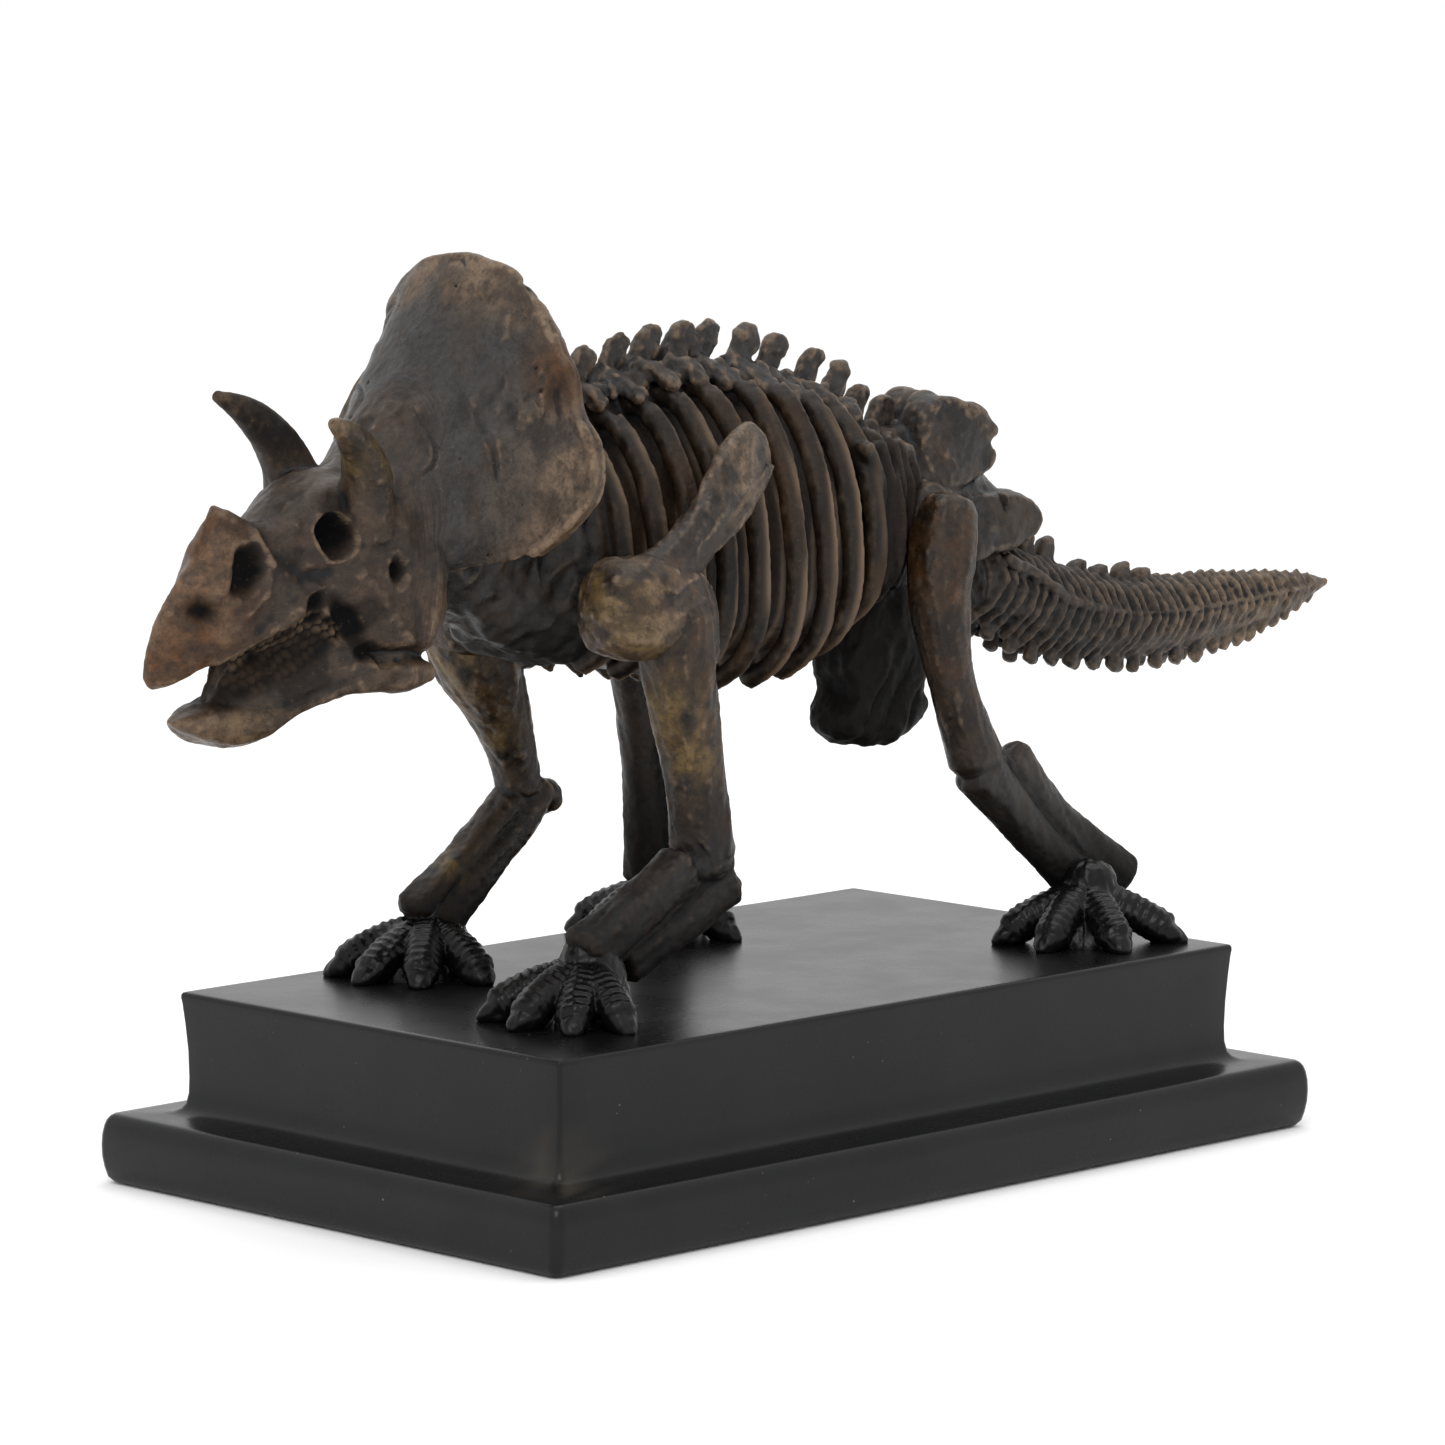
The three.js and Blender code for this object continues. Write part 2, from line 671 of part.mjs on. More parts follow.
function pelvis() {
  const core = bulk(
    [
      [54, 164, 138, 9, 0.3],
      [62, 163, 133, 12.5, 0.3],
      [74, 159, 130, 13, 0.3],
      [88, 152, 129, 11.5, 0.3],
      [100, 144, 130, 8.5, 0.3],
      [106, 141, 132, 5, 0.3],
    ],
    { steps: 7, sides: 10 },
  );
  const crest = fuse([
    ball(77, -3, 159.6, 12, 8.2, 9.8, null, 9),
    ball(87, -3, 160, 9.2, 7, 7.4, null, 7),
    ball(88.8, -3, 153.6, 9.4, 7, 6.6, null, 7),
  ]);
  const seat = fuse([
    ball(100, -4, 138.8, 10.4, 7.4, 7.4, null, 8),
    ball(104.8, -4, 138.8, 8.6, 7, 6.4, null, 8),
  ]);
  const sockets = [-1, 1].map((side) => ball(62, side * 13.5, 143, 7.5, 7, 8, null, 8));
  const boot = bone(
    [
      [59, -3, 134, 8, 9.5],
      [56.6, -3.5, 116, 9.2, 11.4],
      [54.8, -4, 104, 8.6, 11],
      [53, -4, 97.4, 9.8, 12.8],
      [51, -4, 94, 8.6, 10.8],
    ],
    { steps: 6, sides: 8 },
  );
  return fuse([core, crest, seat, ...sockets, boot]);
}

// x, top, foot, half-width of the tail without its spines.
const TAIL_ROWS = [
  [TAIL_ROOT_X, 134, 115.8, 9],
  [104, 131, 109.8, 9.4],
  [118, 127, 104.4, 9.2],
  [132, 123, 102, 8.8],
  [146, 120.4, 101, 8.2],
  [160, 119.4, 101, 7.4],
  [174, 119.2, 101.6, 6.4],
  [188, 118.8, 103, 5.3],
  [202, 118, 105.6, 4],
  [214, 116.8, 109.2, 2.6],
  [TAIL_TIP_X, 114.6, 113, 0.7],
];

function tail() {
  const rings = [];
  const parts = [];
  const reach = (TAIL_TIP_X - TAIL_ROOT_X) / TAIL_PITCH;
  const steps = Math.round(reach * 2);
  for (let i = 0; i <= steps; i += 1) {
    const row = along(TAIL_ROWS, TAIL_ROOT_X + ((TAIL_TIP_X - TAIL_ROOT_X) * i) / steps);
    const swell = i % 2 === 0 ? 1.06 : 0.92;
    const middle = row[1] + (row[2] - row[1]) * 0.52;
    const points = [];
    for (let k = 0; k < 8; k += 1) {
      const angle = (2 * Math.PI * k) / 8;
      const c = Math.cos(angle);
      const s = Math.sin(angle);
      const half = c > 0 ? row[1] - middle : middle - row[2];
      const u = row[3] * swell * Math.sign(s) * Math.abs(s) ** 1.15;
      points.push(new THREE.Vector3(row[0], MID + u, middle + half * c));
    }
    rings.push(points);
  }
  parts.push(solid(skin(rings)));
  for (let x = TAIL_ROOT_X + 4; x < TAIL_TIP_X - 14; x += TAIL_PITCH) {
    const row = along(TAIL_ROWS, x);
    const fade = Math.min(2, Math.max(0.25, (168 - x) / 24));
    const lower = Math.min(1, Math.max(0.3, (206 - x) / 26), (x - 84) / 20);
    parts.push(
      bone(
        [
          [x - 1.6, 0, row[1] - 4, 1.6, 2.4],
          [x + 0.8, 0, row[1] + 2 * fade + 0.4, 1.5, 2.2],
        ],
        { steps: 1, sides: 4, blunt: true },
      ),
    );
    parts.push(
      bone(
        [
          [x + 0.4, 0, row[2] + 4, 2, 2.4],
          [x - 0.6, 0, row[2] - 3.2 * lower, 1.9, 2.4],
        ],
        { steps: 1, sides: 4, blunt: true },
      ),
    );
  }
  return fuse(parts);
}

const whole = tail();
const bodies = {
  base: plinth(),
  skull: skull(),
  frill: frill(),
  brow_horn_left: horn(-1),
  brow_horn_right: horn(1),
  lower_jaw: bulk(JAW_ROWS, { steps: 16, sides: 12, matrix: HEAD }),
  neck: neck(),
  spine: backbone(),
  rib_cage_left: chestHalf(-1),
  rib_cage_right: chestHalf(1),
  scapula_left: scapula(-1, [-50, -32, 131], [-4, -24, 166]),
  scapula_right: scapula(1, [-39, 31, 125], [6, 24, 166]),
  humerus_left: bone(
    [
      [-39, -34, 127, 6.4, 6.6],
      [-37, -35, 110, 6.6, 7],
      [-34.4, -35, 94, 6, 6.6],
      [-31.2, -35, 75.5, 6.6, 7.2],
    ],
    { steps: 5, sides: 10 },
  ),
  humerus_right: bone(
    [
      [-38.6, 32, 121, 7.4, 9],
      [-28, 33, 104, 6, 6.8],
      [-23.2, 33, 91, 5, 5.6],
      [-22.2, 33, 83, 5.2, 5.8],
    ],
    { steps: 5, sides: 10 },
  ),
  forearm_left: pair(
    [
      [-40, -36, 72, 5.2, 5.6],
      [-54, -36, 64.6, 5.2, 5.6],
      [-67, -35.5, 57.5, 5, 5.4],
    ],
    [
      [-26, -35.5, 68.6, 5.2, 5.6],
      [-41, -34.5, 59.6, 4.8, 5],
      [-54.5, -33.5, 53, 4.4, 4.6],
    ],
  ),
  forearm_right: pair(
    [
      [-25, 33, 79, 5, 5.4],
      [-40.6, 33.5, 67, 4.8, 5],
      [-54, 34, 56.5, 5, 5.4],
    ],
    [
      [-18, 32, 82, 4.2, 4.4],
      [-36.2, 31, 66, 4.4, 4.6],
      [-50, 31, 54.4, 4.6, 4.6],
    ],
  ),
  forefoot_left: foot(-67.4, -34.5, [146, 185, 220, 250]),
  forefoot_right: foot(-51.2, 33.2, [262, 222, 184, 147]),
  pelvis: pelvis(),
  femur_left: bone(
    [
      [61.5, -21, 145, 5, 5.4],
      [57, -22.5, 130, 6.4, 6.8],
      [54, -25.5, 118, 6.2, 6.8],
      [57, -27, 104, 5.6, 6],
      [60.6, -30, 88, 6.2, 7],
    ],
    { steps: 6, sides: 10 },
  ),
  femur_right: bone(
    [
      [62, 21, 145, 5, 5.4],
      [52, 27, 133, 6.4, 6.8],
      [38, 32, 121, 5.8, 6],
      [21.5, 36.5, 108, 6, 6.4],
    ],
    { steps: 6, sides: 10, face: [1, 0, 1] },
  ),
  shin_left: pair(
    [
      [63.6, -30.5, 82.4, 5.6, 6],
      [78.4, -31.5, 69, 5, 5.4],
      [93, -32.5, 56, 4.8, 5.2],
    ],
    [
      [74.5, -29.5, 86, 4.8, 5],
      [88.8, -31, 70.2, 4.8, 5],
      [109.8, -32.5, 55.6, 4.6, 5],
    ],
  ),
  shin_right: pair(
    [
      [17.4, 38, 102, 5, 5.4],
      [20.2, 38, 84, 4.6, 5],
      [21.8, 38, 58, 5, 5.4],
    ],
    [
      [24.4, 36, 101, 4.2, 4.4],
      [27, 35.6, 82, 4.2, 4.4],
      [28, 36, 58, 4.2, 4.4],
    ],
  ),
  hind_foot_left: foot(89.4, -39.6, [157, 197, 245, 302]),
  hind_foot_right: foot(28.6, 38.4, [140, 172, 222, 271]),
  tail_base: whole.intersect(lengthRoom(0, TAIL_CUT_A - GAP / 2)),
  tail_middle: whole.intersect(lengthRoom(TAIL_CUT_A + GAP / 2, TAIL_CUT_B - GAP / 2)),
  tail_tip: whole.intersect(lengthRoom(TAIL_CUT_B + GAP / 2, FAR)),
};

// Each row: a piece, then the neighbours it is cut back from so that they meet face to face.
const CLEARANCES = [
  ['skull', 'lower_jaw'],
  ['brow_horn_left', 'skull'],
  ['brow_horn_right', 'skull'],
  ['frill', 'skull', 'brow_horn_left', 'brow_horn_right'],
  ['humerus_left', 'scapula_left'],
  ['humerus_right', 'scapula_right'],
  ['femur_left', 'pelvis'],
  ['femur_right', 'pelvis'],
  ['spine', 'pelvis', 'frill'],
  ['neck', 'skull', 'frill', 'lower_jaw', 'spine', 'scapula_left', 'scapula_right', 'humerus_right'],
  ['rib_cage_left', 'spine', 'pelvis', 'scapula_left', 'humerus_left', 'femur_left'],
  ['rib_cage_right', 'spine', 'pelvis', 'scapula_right', 'humerus_right', 'femur_right'],
  ['forearm_left', 'humerus_left'],
  ['forearm_right', 'humerus_right'],
  ['shin_left', 'femur_left'],
  ['shin_right', 'femur_right'],
  ['forefoot_left', 'forearm_left'],
  ['forefoot_right', 'forearm_right'],
  ['hind_foot_left', 'shin_left'],
  ['hind_foot_right', 'shin_right'],
  ['tail_base', 'pelvis'],
];

for (const [name, ...others] of CLEARANCES) {
  for (const other of others) {
    const apart = bodies[name].subtract(grown(bodies[other], GAP * 1.2)).subtract(bodies[other]);
    bodies[name] = largest(apart);
  }
}

const FINISH = {
  plinth_black: { color: 0x26272a, roughness: 0.55, metalness: 0 },
  bone_brown: { color: 0x4a3a2c, roughness: 0.5, metalness: 0 },
  bone_black: { color: 0x2b2725, roughness: 0.5, metalness: 0 },
};

const BLACK_BONE = ['neck', 'spine', 'tail_base', 'tail_middle', 'pelvis', 'shin_left', 'shin_right'];

function finishOf(name) {
  if (name === 'base') {
    return 'plinth_black';
  }
  if (BLACK_BONE.includes(name) || name.includes('foot')) {
    return 'bone_black';
  }
  return 'bone_brown';
}

const statue = new THREE.Group();
for (const [name, body] of Object.entries(bodies)) {
  const geometry = cleaned(largest(body));
  const part = new THREE.Mesh(geometry, new THREE.MeshStandardMaterial(FINISH[finishOf(name)]));
  part.name = name;
  statue.add(part);
}

export default statue;
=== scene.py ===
import itertools
import math

import bpy
import numpy as np
from mathutils import Euler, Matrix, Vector


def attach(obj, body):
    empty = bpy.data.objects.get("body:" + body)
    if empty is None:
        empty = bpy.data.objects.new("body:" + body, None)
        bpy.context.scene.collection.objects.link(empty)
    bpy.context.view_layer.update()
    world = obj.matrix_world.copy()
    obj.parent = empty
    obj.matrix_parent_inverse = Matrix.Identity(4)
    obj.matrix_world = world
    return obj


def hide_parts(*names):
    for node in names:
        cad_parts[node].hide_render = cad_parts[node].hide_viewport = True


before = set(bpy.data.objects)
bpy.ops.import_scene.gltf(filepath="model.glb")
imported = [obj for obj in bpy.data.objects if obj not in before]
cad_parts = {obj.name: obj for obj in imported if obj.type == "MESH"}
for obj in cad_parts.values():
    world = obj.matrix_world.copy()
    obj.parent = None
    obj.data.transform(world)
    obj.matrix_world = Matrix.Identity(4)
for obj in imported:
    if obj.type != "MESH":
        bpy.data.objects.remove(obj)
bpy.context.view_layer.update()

# Millimetres in the shapes below, metres in the finished pieces.
MM = 0.001
COARSE = 1.0
# The figure's midline stands off the base's; its feet stand on the block's top.
MID = 8.0
BLOCK_TOP = 42.9
SEED = 11
rng = np.random.default_rng(SEED)
SIDES = (-1, 1)


def unit(v):
    return v / np.maximum(np.linalg.norm(v, axis=-1, keepdims=True), 1e-9)


def columns(*parts):
    return np.column_stack(parts)


def spline(rows, t):
    """A smooth run through rows of numbers, read at t from 0 to 1."""
    rows = np.asarray(rows, float)
    last = len(rows) - 1
    s = np.clip(np.atleast_1d(t), 0, 1) * last
    i = np.minimum(s.astype(int), last - 1)
    f = (s - i)[:, None]
    a = rows[np.maximum(i - 1, 0)]
    b = rows[i]
    c = rows[i + 1]
    d = rows[np.minimum(i + 2, last)]
    two = 2 * a - 5 * b + 4 * c - d
    three = 3 * b - a - 3 * c + d
    return b + 0.5 * ((c - a) * f + two * f**2 + three * f**3)


def along(rows, key):
    """Rows keyed by their first number, read at that number."""
    rows = np.asarray(rows, float)
    last = len(rows) - 1
    key = np.atleast_1d(np.asarray(key, float))
    i = np.clip(np.searchsorted(rows[:, 0], key) - 1, 0, last - 1)
    f = np.clip((key - rows[i, 0]) / (rows[i + 1, 0] - rows[i, 0]), 0, 1)
    return spline(rows, (i + f) / last)


# Large odd numbers that scatter the places of the noise's cells.
SCATTER = (374761393, 668265263, 362437)
STIR = 1274126177


def lattice(cells):
    """A repeatable number from 0 to 1 for each whole-number cell."""
    h = cells[:, 0] * SCATTER[0] + cells[:, 1] * SCATTER[1] + cells[:, 2] * SCATTER[2]
    h = ((h ^ (h >> 13)) * STIR) & 0xFFFFFFFF
    return ((h ^ (h >> 16)) & 0xFFFF) / 65535.0


# A turn that keeps the noise's cells off the axes of the figure.
TWIST = np.array(Euler((0.6, 0.9, 0.4)).to_matrix())


def grain(points, size, shift=0.0):
    """Smooth noise from -1 to 1, its features of a size in millimetres."""
    p = points @ TWIST / size + shift
    low = np.floor(p).astype(np.int64)
    f = p - low
    f = f * f * (3 - 2 * f)
    total = np.zeros(len(p))
    for step in itertools.product((0, 1), repeat=3):
        weight = np.prod(np.where(np.array(step) == 1, f, 1 - f), axis=1)
        total += weight * lattice(low + np.array(step))
    return 2 * total - 1


def spot(points, centre, radius):
    """A soft round mask, 1 at the centre; radius is one number or one per axis."""
    away = (points - np.asarray(centre, float)) / np.asarray(radius, float)
    return np.exp(-np.sum(away**2, axis=1))


def ramp(values, low, high):
    f = np.clip((values - low) / (high - low), 0, 1)
    return f * f * (3 - 2 * f)


def placed(points, matrix):
    return points @ matrix[:3, :3].T + matrix[:3, 3]


def loft(rings, matrix=None):
    """A closed skin of triangles over rings of points, each end closed by a fan."""
    count, sides = rings.shape[:2]
    corners = np.vstack([rings.reshape(-1, 3), rings[0].mean(0), rings[-1].mean(0)])
    ring, k = np.meshgrid(np.arange(count - 1), np.arange(sides), indexing="ij")
    a = (ring * sides + k).ravel()
    b = (ring * sides + (k + 1) % sides).ravel()
    k = np.arange(sides)
    hub = np.full(sides, count * sides)
    end = (count - 1) * sides
    walls = [columns(a, b, b + sides), columns(a, b + sides, a + sides)]
    fans = [columns(hub, (k + 1) % sides, k), columns(hub + 1, end + k, end + (k + 1) % sides)]
    faces = np.vstack(walls + fans)
    p, q, r = (corners[faces[:, i]] for i in range(3))
    if np.sum(p * np.cross(q, r)) < 0:
        faces = faces[:, ::-1]
    if matrix is not None:
        corners = placed(corners, matrix)
    return corners, faces


ACROSS = (0, 1, 0)
# Where the rings of a bone's rounded end lie on their quarter circle, in degrees.
END_TURNS = [86, 62, 34]


def bone(rows, steps=30, sides=18, face=(1, 0, 0), waist=0.0, cap=0.6, square=0.0, matrix=None):
    """Rows of x, offset from the midline, z, half-width, half-depth make a bone with rounded ends.

    The half-depth lies nearest to the direction called face. Square takes the section from an
    ellipse towards a box, and waist thins the middle."""
    t = np.linspace(0, 1, steps + 1)
    at = spline(rows, t)
    tangent = unit(spline(rows, t + 0.02)[:, :3] - spline(rows, t - 0.02)[:, :3])
    at[:, 3:5] *= (1 - waist * np.sin(np.pi * t))[:, None]
    turn = np.radians(END_TURNS)
    ends = len(END_TURNS)
    pick = np.concatenate([[0] * ends, np.arange(steps + 1), [steps] * ends])
    scale = np.concatenate([np.cos(turn), np.ones(steps + 1), np.cos(turn[::-1])])
    shift = np.concatenate([-np.sin(turn), np.zeros(steps + 1), np.sin(turn[::-1])])
    at = at[pick]
    tangent = tangent[pick]
    reach = cap * at[:, 3:5].min(axis=1)
    centre = at[:, :3] + [0, MID, 0] + tangent * (shift * reach)[:, None]
    side = unit(np.cross(tangent, np.asarray(face, float)))
    up = np.cross(side, tangent)
    angle = 2 * np.pi * (np.arange(sides) + 0.5) / sides
    c, s = np.cos(angle), np.sin(angle)
    wide = (scale * at[:, 3])[:, None] * np.sign(c) * np.abs(c) ** (1 - square)
    deep = (scale * at[:, 4])[:, None] * np.sign(s) * np.abs(s) ** (1 - square)
    rings = centre[:, None] + side[:, None] * wide[..., None] + up[:, None] * deep[..., None]
    return loft(rings, matrix)


def section(row, angle):
    """Offset and height of a body's cross-section: top, foot, half-width, ridge and squareness."""
    top, foot, wide, ridge = row[1:5]
    power = 1 - (row[5] if len(row) > 5 else 0.2)
    c, s = np.cos(angle), np.sin(angle)
    z = (top + foot) / 2 + (top - foot) / 2 * np.sign(c) * np.abs(c) ** power
    narrow = 1 - ridge * np.maximum(0, 0.35 + 0.65 * c)
    return wide * narrow * np.sign(s) * np.abs(s) ** power, z


def bulk(rows, steps=60, sides=48, matrix=None, inset=0.0):
    """Rows of x, top, foot, half-width and ridge make a body that runs along X."""
    rings = []
    angle = 2 * np.pi * np.arange(sides) / sides
    for row in spline(rows, np.linspace(0, 1, steps + 1)):
        row[1:4] += [-inset, inset, -inset]
        u, z = section(row, angle)
        rings.append(columns(np.full(sides, row[0]), MID + u, z))
    return loft(np.array(rings), matrix)


def ball(x, u, z, rx, ru, rz, matrix=None, sides=18, square=0.0):
    """An ellipsoid; square takes it towards a soft-edged block."""
    polar = np.linspace(0.05, np.pi - 0.05, sides // 2 + 2)[:, None]
    angle = 2 * np.pi * np.arange(sides) / sides

    def soft(wave):
        return np.sign(wave) * np.abs(wave) ** (1 - square)

    ahead = x + rx * soft(np.cos(polar)) + 0 * angle
    across = MID + u + ru * soft(np.sin(polar)) * soft(np.cos(angle))
    above = z + rz * soft(np.sin(polar)) * soft(np.sin(angle))
    return loft(np.stack([ahead, across, above], axis=-1), matrix)


# A plate's soft edge: a place across its thickness and how far the outline is drawn in there.
SLAB_EDGE = [(-1, 1.6), (-0.86, 0.7), (-0.55, 0.15), (0, 0), (0.55, 0.15), (0.86, 0.7), (1, 1.6)]
SLAB_POINTS = 40


def slab(outline, u, half, soft):
    """A plate with soft edges: a closed outline of x and z, its offset, its half-thickness."""
    points = np.array(outline, float)
    span = len(points)
    run = np.vstack([points[-1:], points, points[:2]])
    t = (1 + np.arange(SLAB_POINTS) * span / SLAB_POINTS) / (span + 2)
    edge = spline(run, t)
    middle = edge.mean(0)
    size = np.linalg.norm(edge - middle, axis=1).mean()
    rings = []
    for across, drawn in SLAB_EDGE:
        x, z = (middle + (edge - middle) * max(0.2, 1 - soft * drawn * half / size)).T
        rings.append(columns(x, np.full(SLAB_POINTS, MID + u + half * across), z))
    return loft(np.array(rings))


def joined(parts):
    start = np.cumsum([0] + [len(corners) for corners, _ in parts])
    corners = np.vstack([part[0] for part in parts])
    faces = np.vstack([part[1] + first for part, first in zip(parts, start)])
    return corners, faces


def mesh_object(name, corners, faces):
    mesh = bpy.data.meshes.new(name)
    count, sides = faces.shape
    mesh.vertices.add(len(corners))
    mesh.vertices.foreach_set("co", np.ravel(corners).astype(np.float32))
    mesh.loops.add(count * sides)
    mesh.loops.foreach_set("vertex_index", np.ravel(faces).astype(np.int32))
    mesh.polygons.add(count)
    mesh.polygons.foreach_set("loop_start", np.arange(0, count * sides, sides, dtype=np.int32))
    mesh.update(calc_edges=True)
    made = bpy.data.objects.new(name, mesh)
    bpy.context.scene.collection.objects.link(made)
    return made


def discard(made):
    mesh = made.data
    bpy.data.objects.remove(made)
    bpy.data.meshes.remove(mesh)


def melted(made, voxel):
    melt = made.modifiers.new("skin", "REMESH")
    melt.mode = "VOXEL"
    melt.voxel_size = voxel * COARSE
    return made


def cast(parts, voxel, cuts=()):
    """One closed skin of quads round overlapping closed shapes, with the cuts taken out of it."""
    whole = melted(mesh_object("whole", *joined(parts)), voxel)
    spare = [whole]
    if cuts:
        cutter = melted(mesh_object("cutter", *joined(cuts)), voxel)
        spare.append(cutter)
        carve = whole.modifiers.new("carve", "BOOLEAN")
        carve.operation = "DIFFERENCE"
        carve.solver = "MANIFOLD"
        carve.object = cutter
        melted(whole, voxel)
    shown = whole.evaluated_get(bpy.context.evaluated_depsgraph_get())
    mesh = shown.to_mesh()
    corners = np.empty(len(mesh.vertices) * 3, np.float32)
    mesh.vertices.foreach_get("co", corners)
    faces = np.empty(len(mesh.loops), np.int32)
    mesh.loops.foreach_get("vertex_index", faces)
    shown.to_mesh_clear()
    for made in spare:
        discard(made)
    return Skin(corners.reshape(-1, 3).astype(float), faces.reshape(-1, 4))


# How wide a skin's surroundings are for its swells and for its edges, in rounds of smoothing, and
# an edge's height as a share of a swell's.
SWELL_ROUNDS = 22
EDGE_ROUNDS = 4
EDGE_SHARE = 0.11
# The coats of paint that a piece can carry; the black one carries painted shade as well.
COATS = ("amber", "ochre", "clay", "slate", "soot", "dry", "chalk")
# Keeps the noise of one run apart from that of the next, in millimetres.
RUN_GAP = 60


class Skin:
    """The closed skin of one piece, in millimetres."""

    def __init__(self, corners, faces):
        self.at = corners
        self.faces = faces
        self.flow = corners
        pairs = np.vstack([faces[:, [k, (k + 1) % 4]] for k in range(4)])
        pairs = pairs[pairs[:, 0] < pairs[:, 1]]
        self.pairs = pairs
        self.degree = np.bincount(pairs.ravel(), minlength=len(corners)).clip(1)

    def smoothed(self, values, rounds):
        """Values averaged along the skin's edges, so many times over."""
        values = np.array(values, float).reshape(len(self.at), -1)
        first, second = self.pairs.T
        for _ in range(rounds):
            for column in values.T:
                total = np.bincount(first, column[second], len(column))
                total += np.bincount(second, column[first], len(column))
                column += 0.5 * (total / self.degree - column)
        return values.squeeze()

    def relax(self, rounds):
        self.at = self.smoothed(self.at, rounds)

    def normals(self):
        a, b, c, d = (self.at[self.faces[:, k]] for k in range(4))
        across = np.cross(c - a, d - b)
        total = np.zeros_like(self.at)
        for column in range(3):
            for k in range(4):
                total[:, column] += np.bincount(self.faces[:, k], across[:, column], len(total))
        return unit(total)

    def push(self, depth):
        self.at = self.at + self.normals() * np.reshape(depth, (-1, 1))

    def height(self, rounds, scale):
        """How far the skin stands out from its own surroundings, -1 to 1."""
        away = np.sum((self.at - self.smoothed(self.at, rounds)) * self.normals(), axis=1)
        return np.clip(self.smoothed(away, 1) / scale, -1, 1)

    def strands(self, rows, steps=40, stretch=0.2):
        """Places told from the nearest of some runs of rows and drawn together along it.

        Noise read at these places runs in streaks along the runs."""
        t = np.linspace(0, 1, steps)
        points = np.array([spline(run, t)[:, :3] + [0, MID, 0] for run in rows])
        ways = unit(np.gradient(points, axis=1)).reshape(-1, 3)
        step = np.linalg.norm(np.diff(points, axis=1), axis=2)
        length = np.pad(np.cumsum(step, axis=1), ((0, 0), (1, 0)))
        length = (length + RUN_GAP * np.arange(len(rows))[:, None]).ravel()
        points = points.reshape(-1, 3)
        nearest = np.empty(len(self.at), int)
        for part in np.array_split(np.arange(len(self.at)), 20):
            gap = self.at[part, None] - points[None]
            nearest[part] = np.argmin(np.einsum("ijk,ijk->ij", gap, gap), axis=1)
        away = self.at - points[nearest]
        ahead = np.sum(away * ways[nearest], axis=1)
        away -= ways[nearest] * ahead[:, None]
        return away + (stretch * (length[nearest] + ahead))[:, None]

    def piece(self, name, nodes, slot, material, relief=1.2, **paint):
        made = mesh_object(name, self.at * MM, self.faces)
        mesh = made.data
        mesh.polygons.foreach_set("use_smooth", np.ones(len(self.faces), bool))
        fine = 1 if COARSE > 1 else 2
        layers = {**dict.fromkeys(COATS, 0.0), **paint}
        layers["swell"] = self.height(SWELL_ROUNDS * fine, relief)
        layers["edge"] = self.smoothed(self.height(EDGE_ROUNDS * fine, EDGE_SHARE * relief), 2)
        for key, values in layers.items():
            store = mesh.attributes.new(key, "FLOAT", "POINT")
            full = np.broadcast_to(np.asarray(values, float), len(self.at))
            store.data.foreach_set("value", np.ascontiguousarray(full, np.float32))
        flow = mesh.attributes.new("flow", "FLOAT_VECTOR", "POINT")
        flow.data.foreach_set("vector", np.ascontiguousarray(self.flow * MM, np.float32).ravel())
        mesh.materials.append(material)
        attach(made, "root")
        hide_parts(*nodes)
        return made


# Finishes: a dark cast resin, dry-brushed with ochre and amber and left black in its hollows; that
# black is partly its dark wash and partly painted shade.
UMBER = (0.0105, 0.0068, 0.0042, 1)
BROWN = (0.037, 0.0215, 0.0115, 1)
TAN = (0.2, 0.134, 0.084, 1)
OCHRE = (0.175, 0.115, 0.036, 1)
AMBER = (0.1, 0.04, 0.0105, 1)
SLATE = (0.034, 0.0325, 0.032, 1)
BLACK = (0.003, 0.0029, 0.0031, 1)
DUST = (0.3, 0.28, 0.25, 1)
CHARCOAL = (0.0032, 0.0033, 0.0038, 1)
WORN_CHARCOAL = (0.0055, 0.0056, 0.0064, 1)
EARTH = (0.05, 0.041, 0.03, 1)


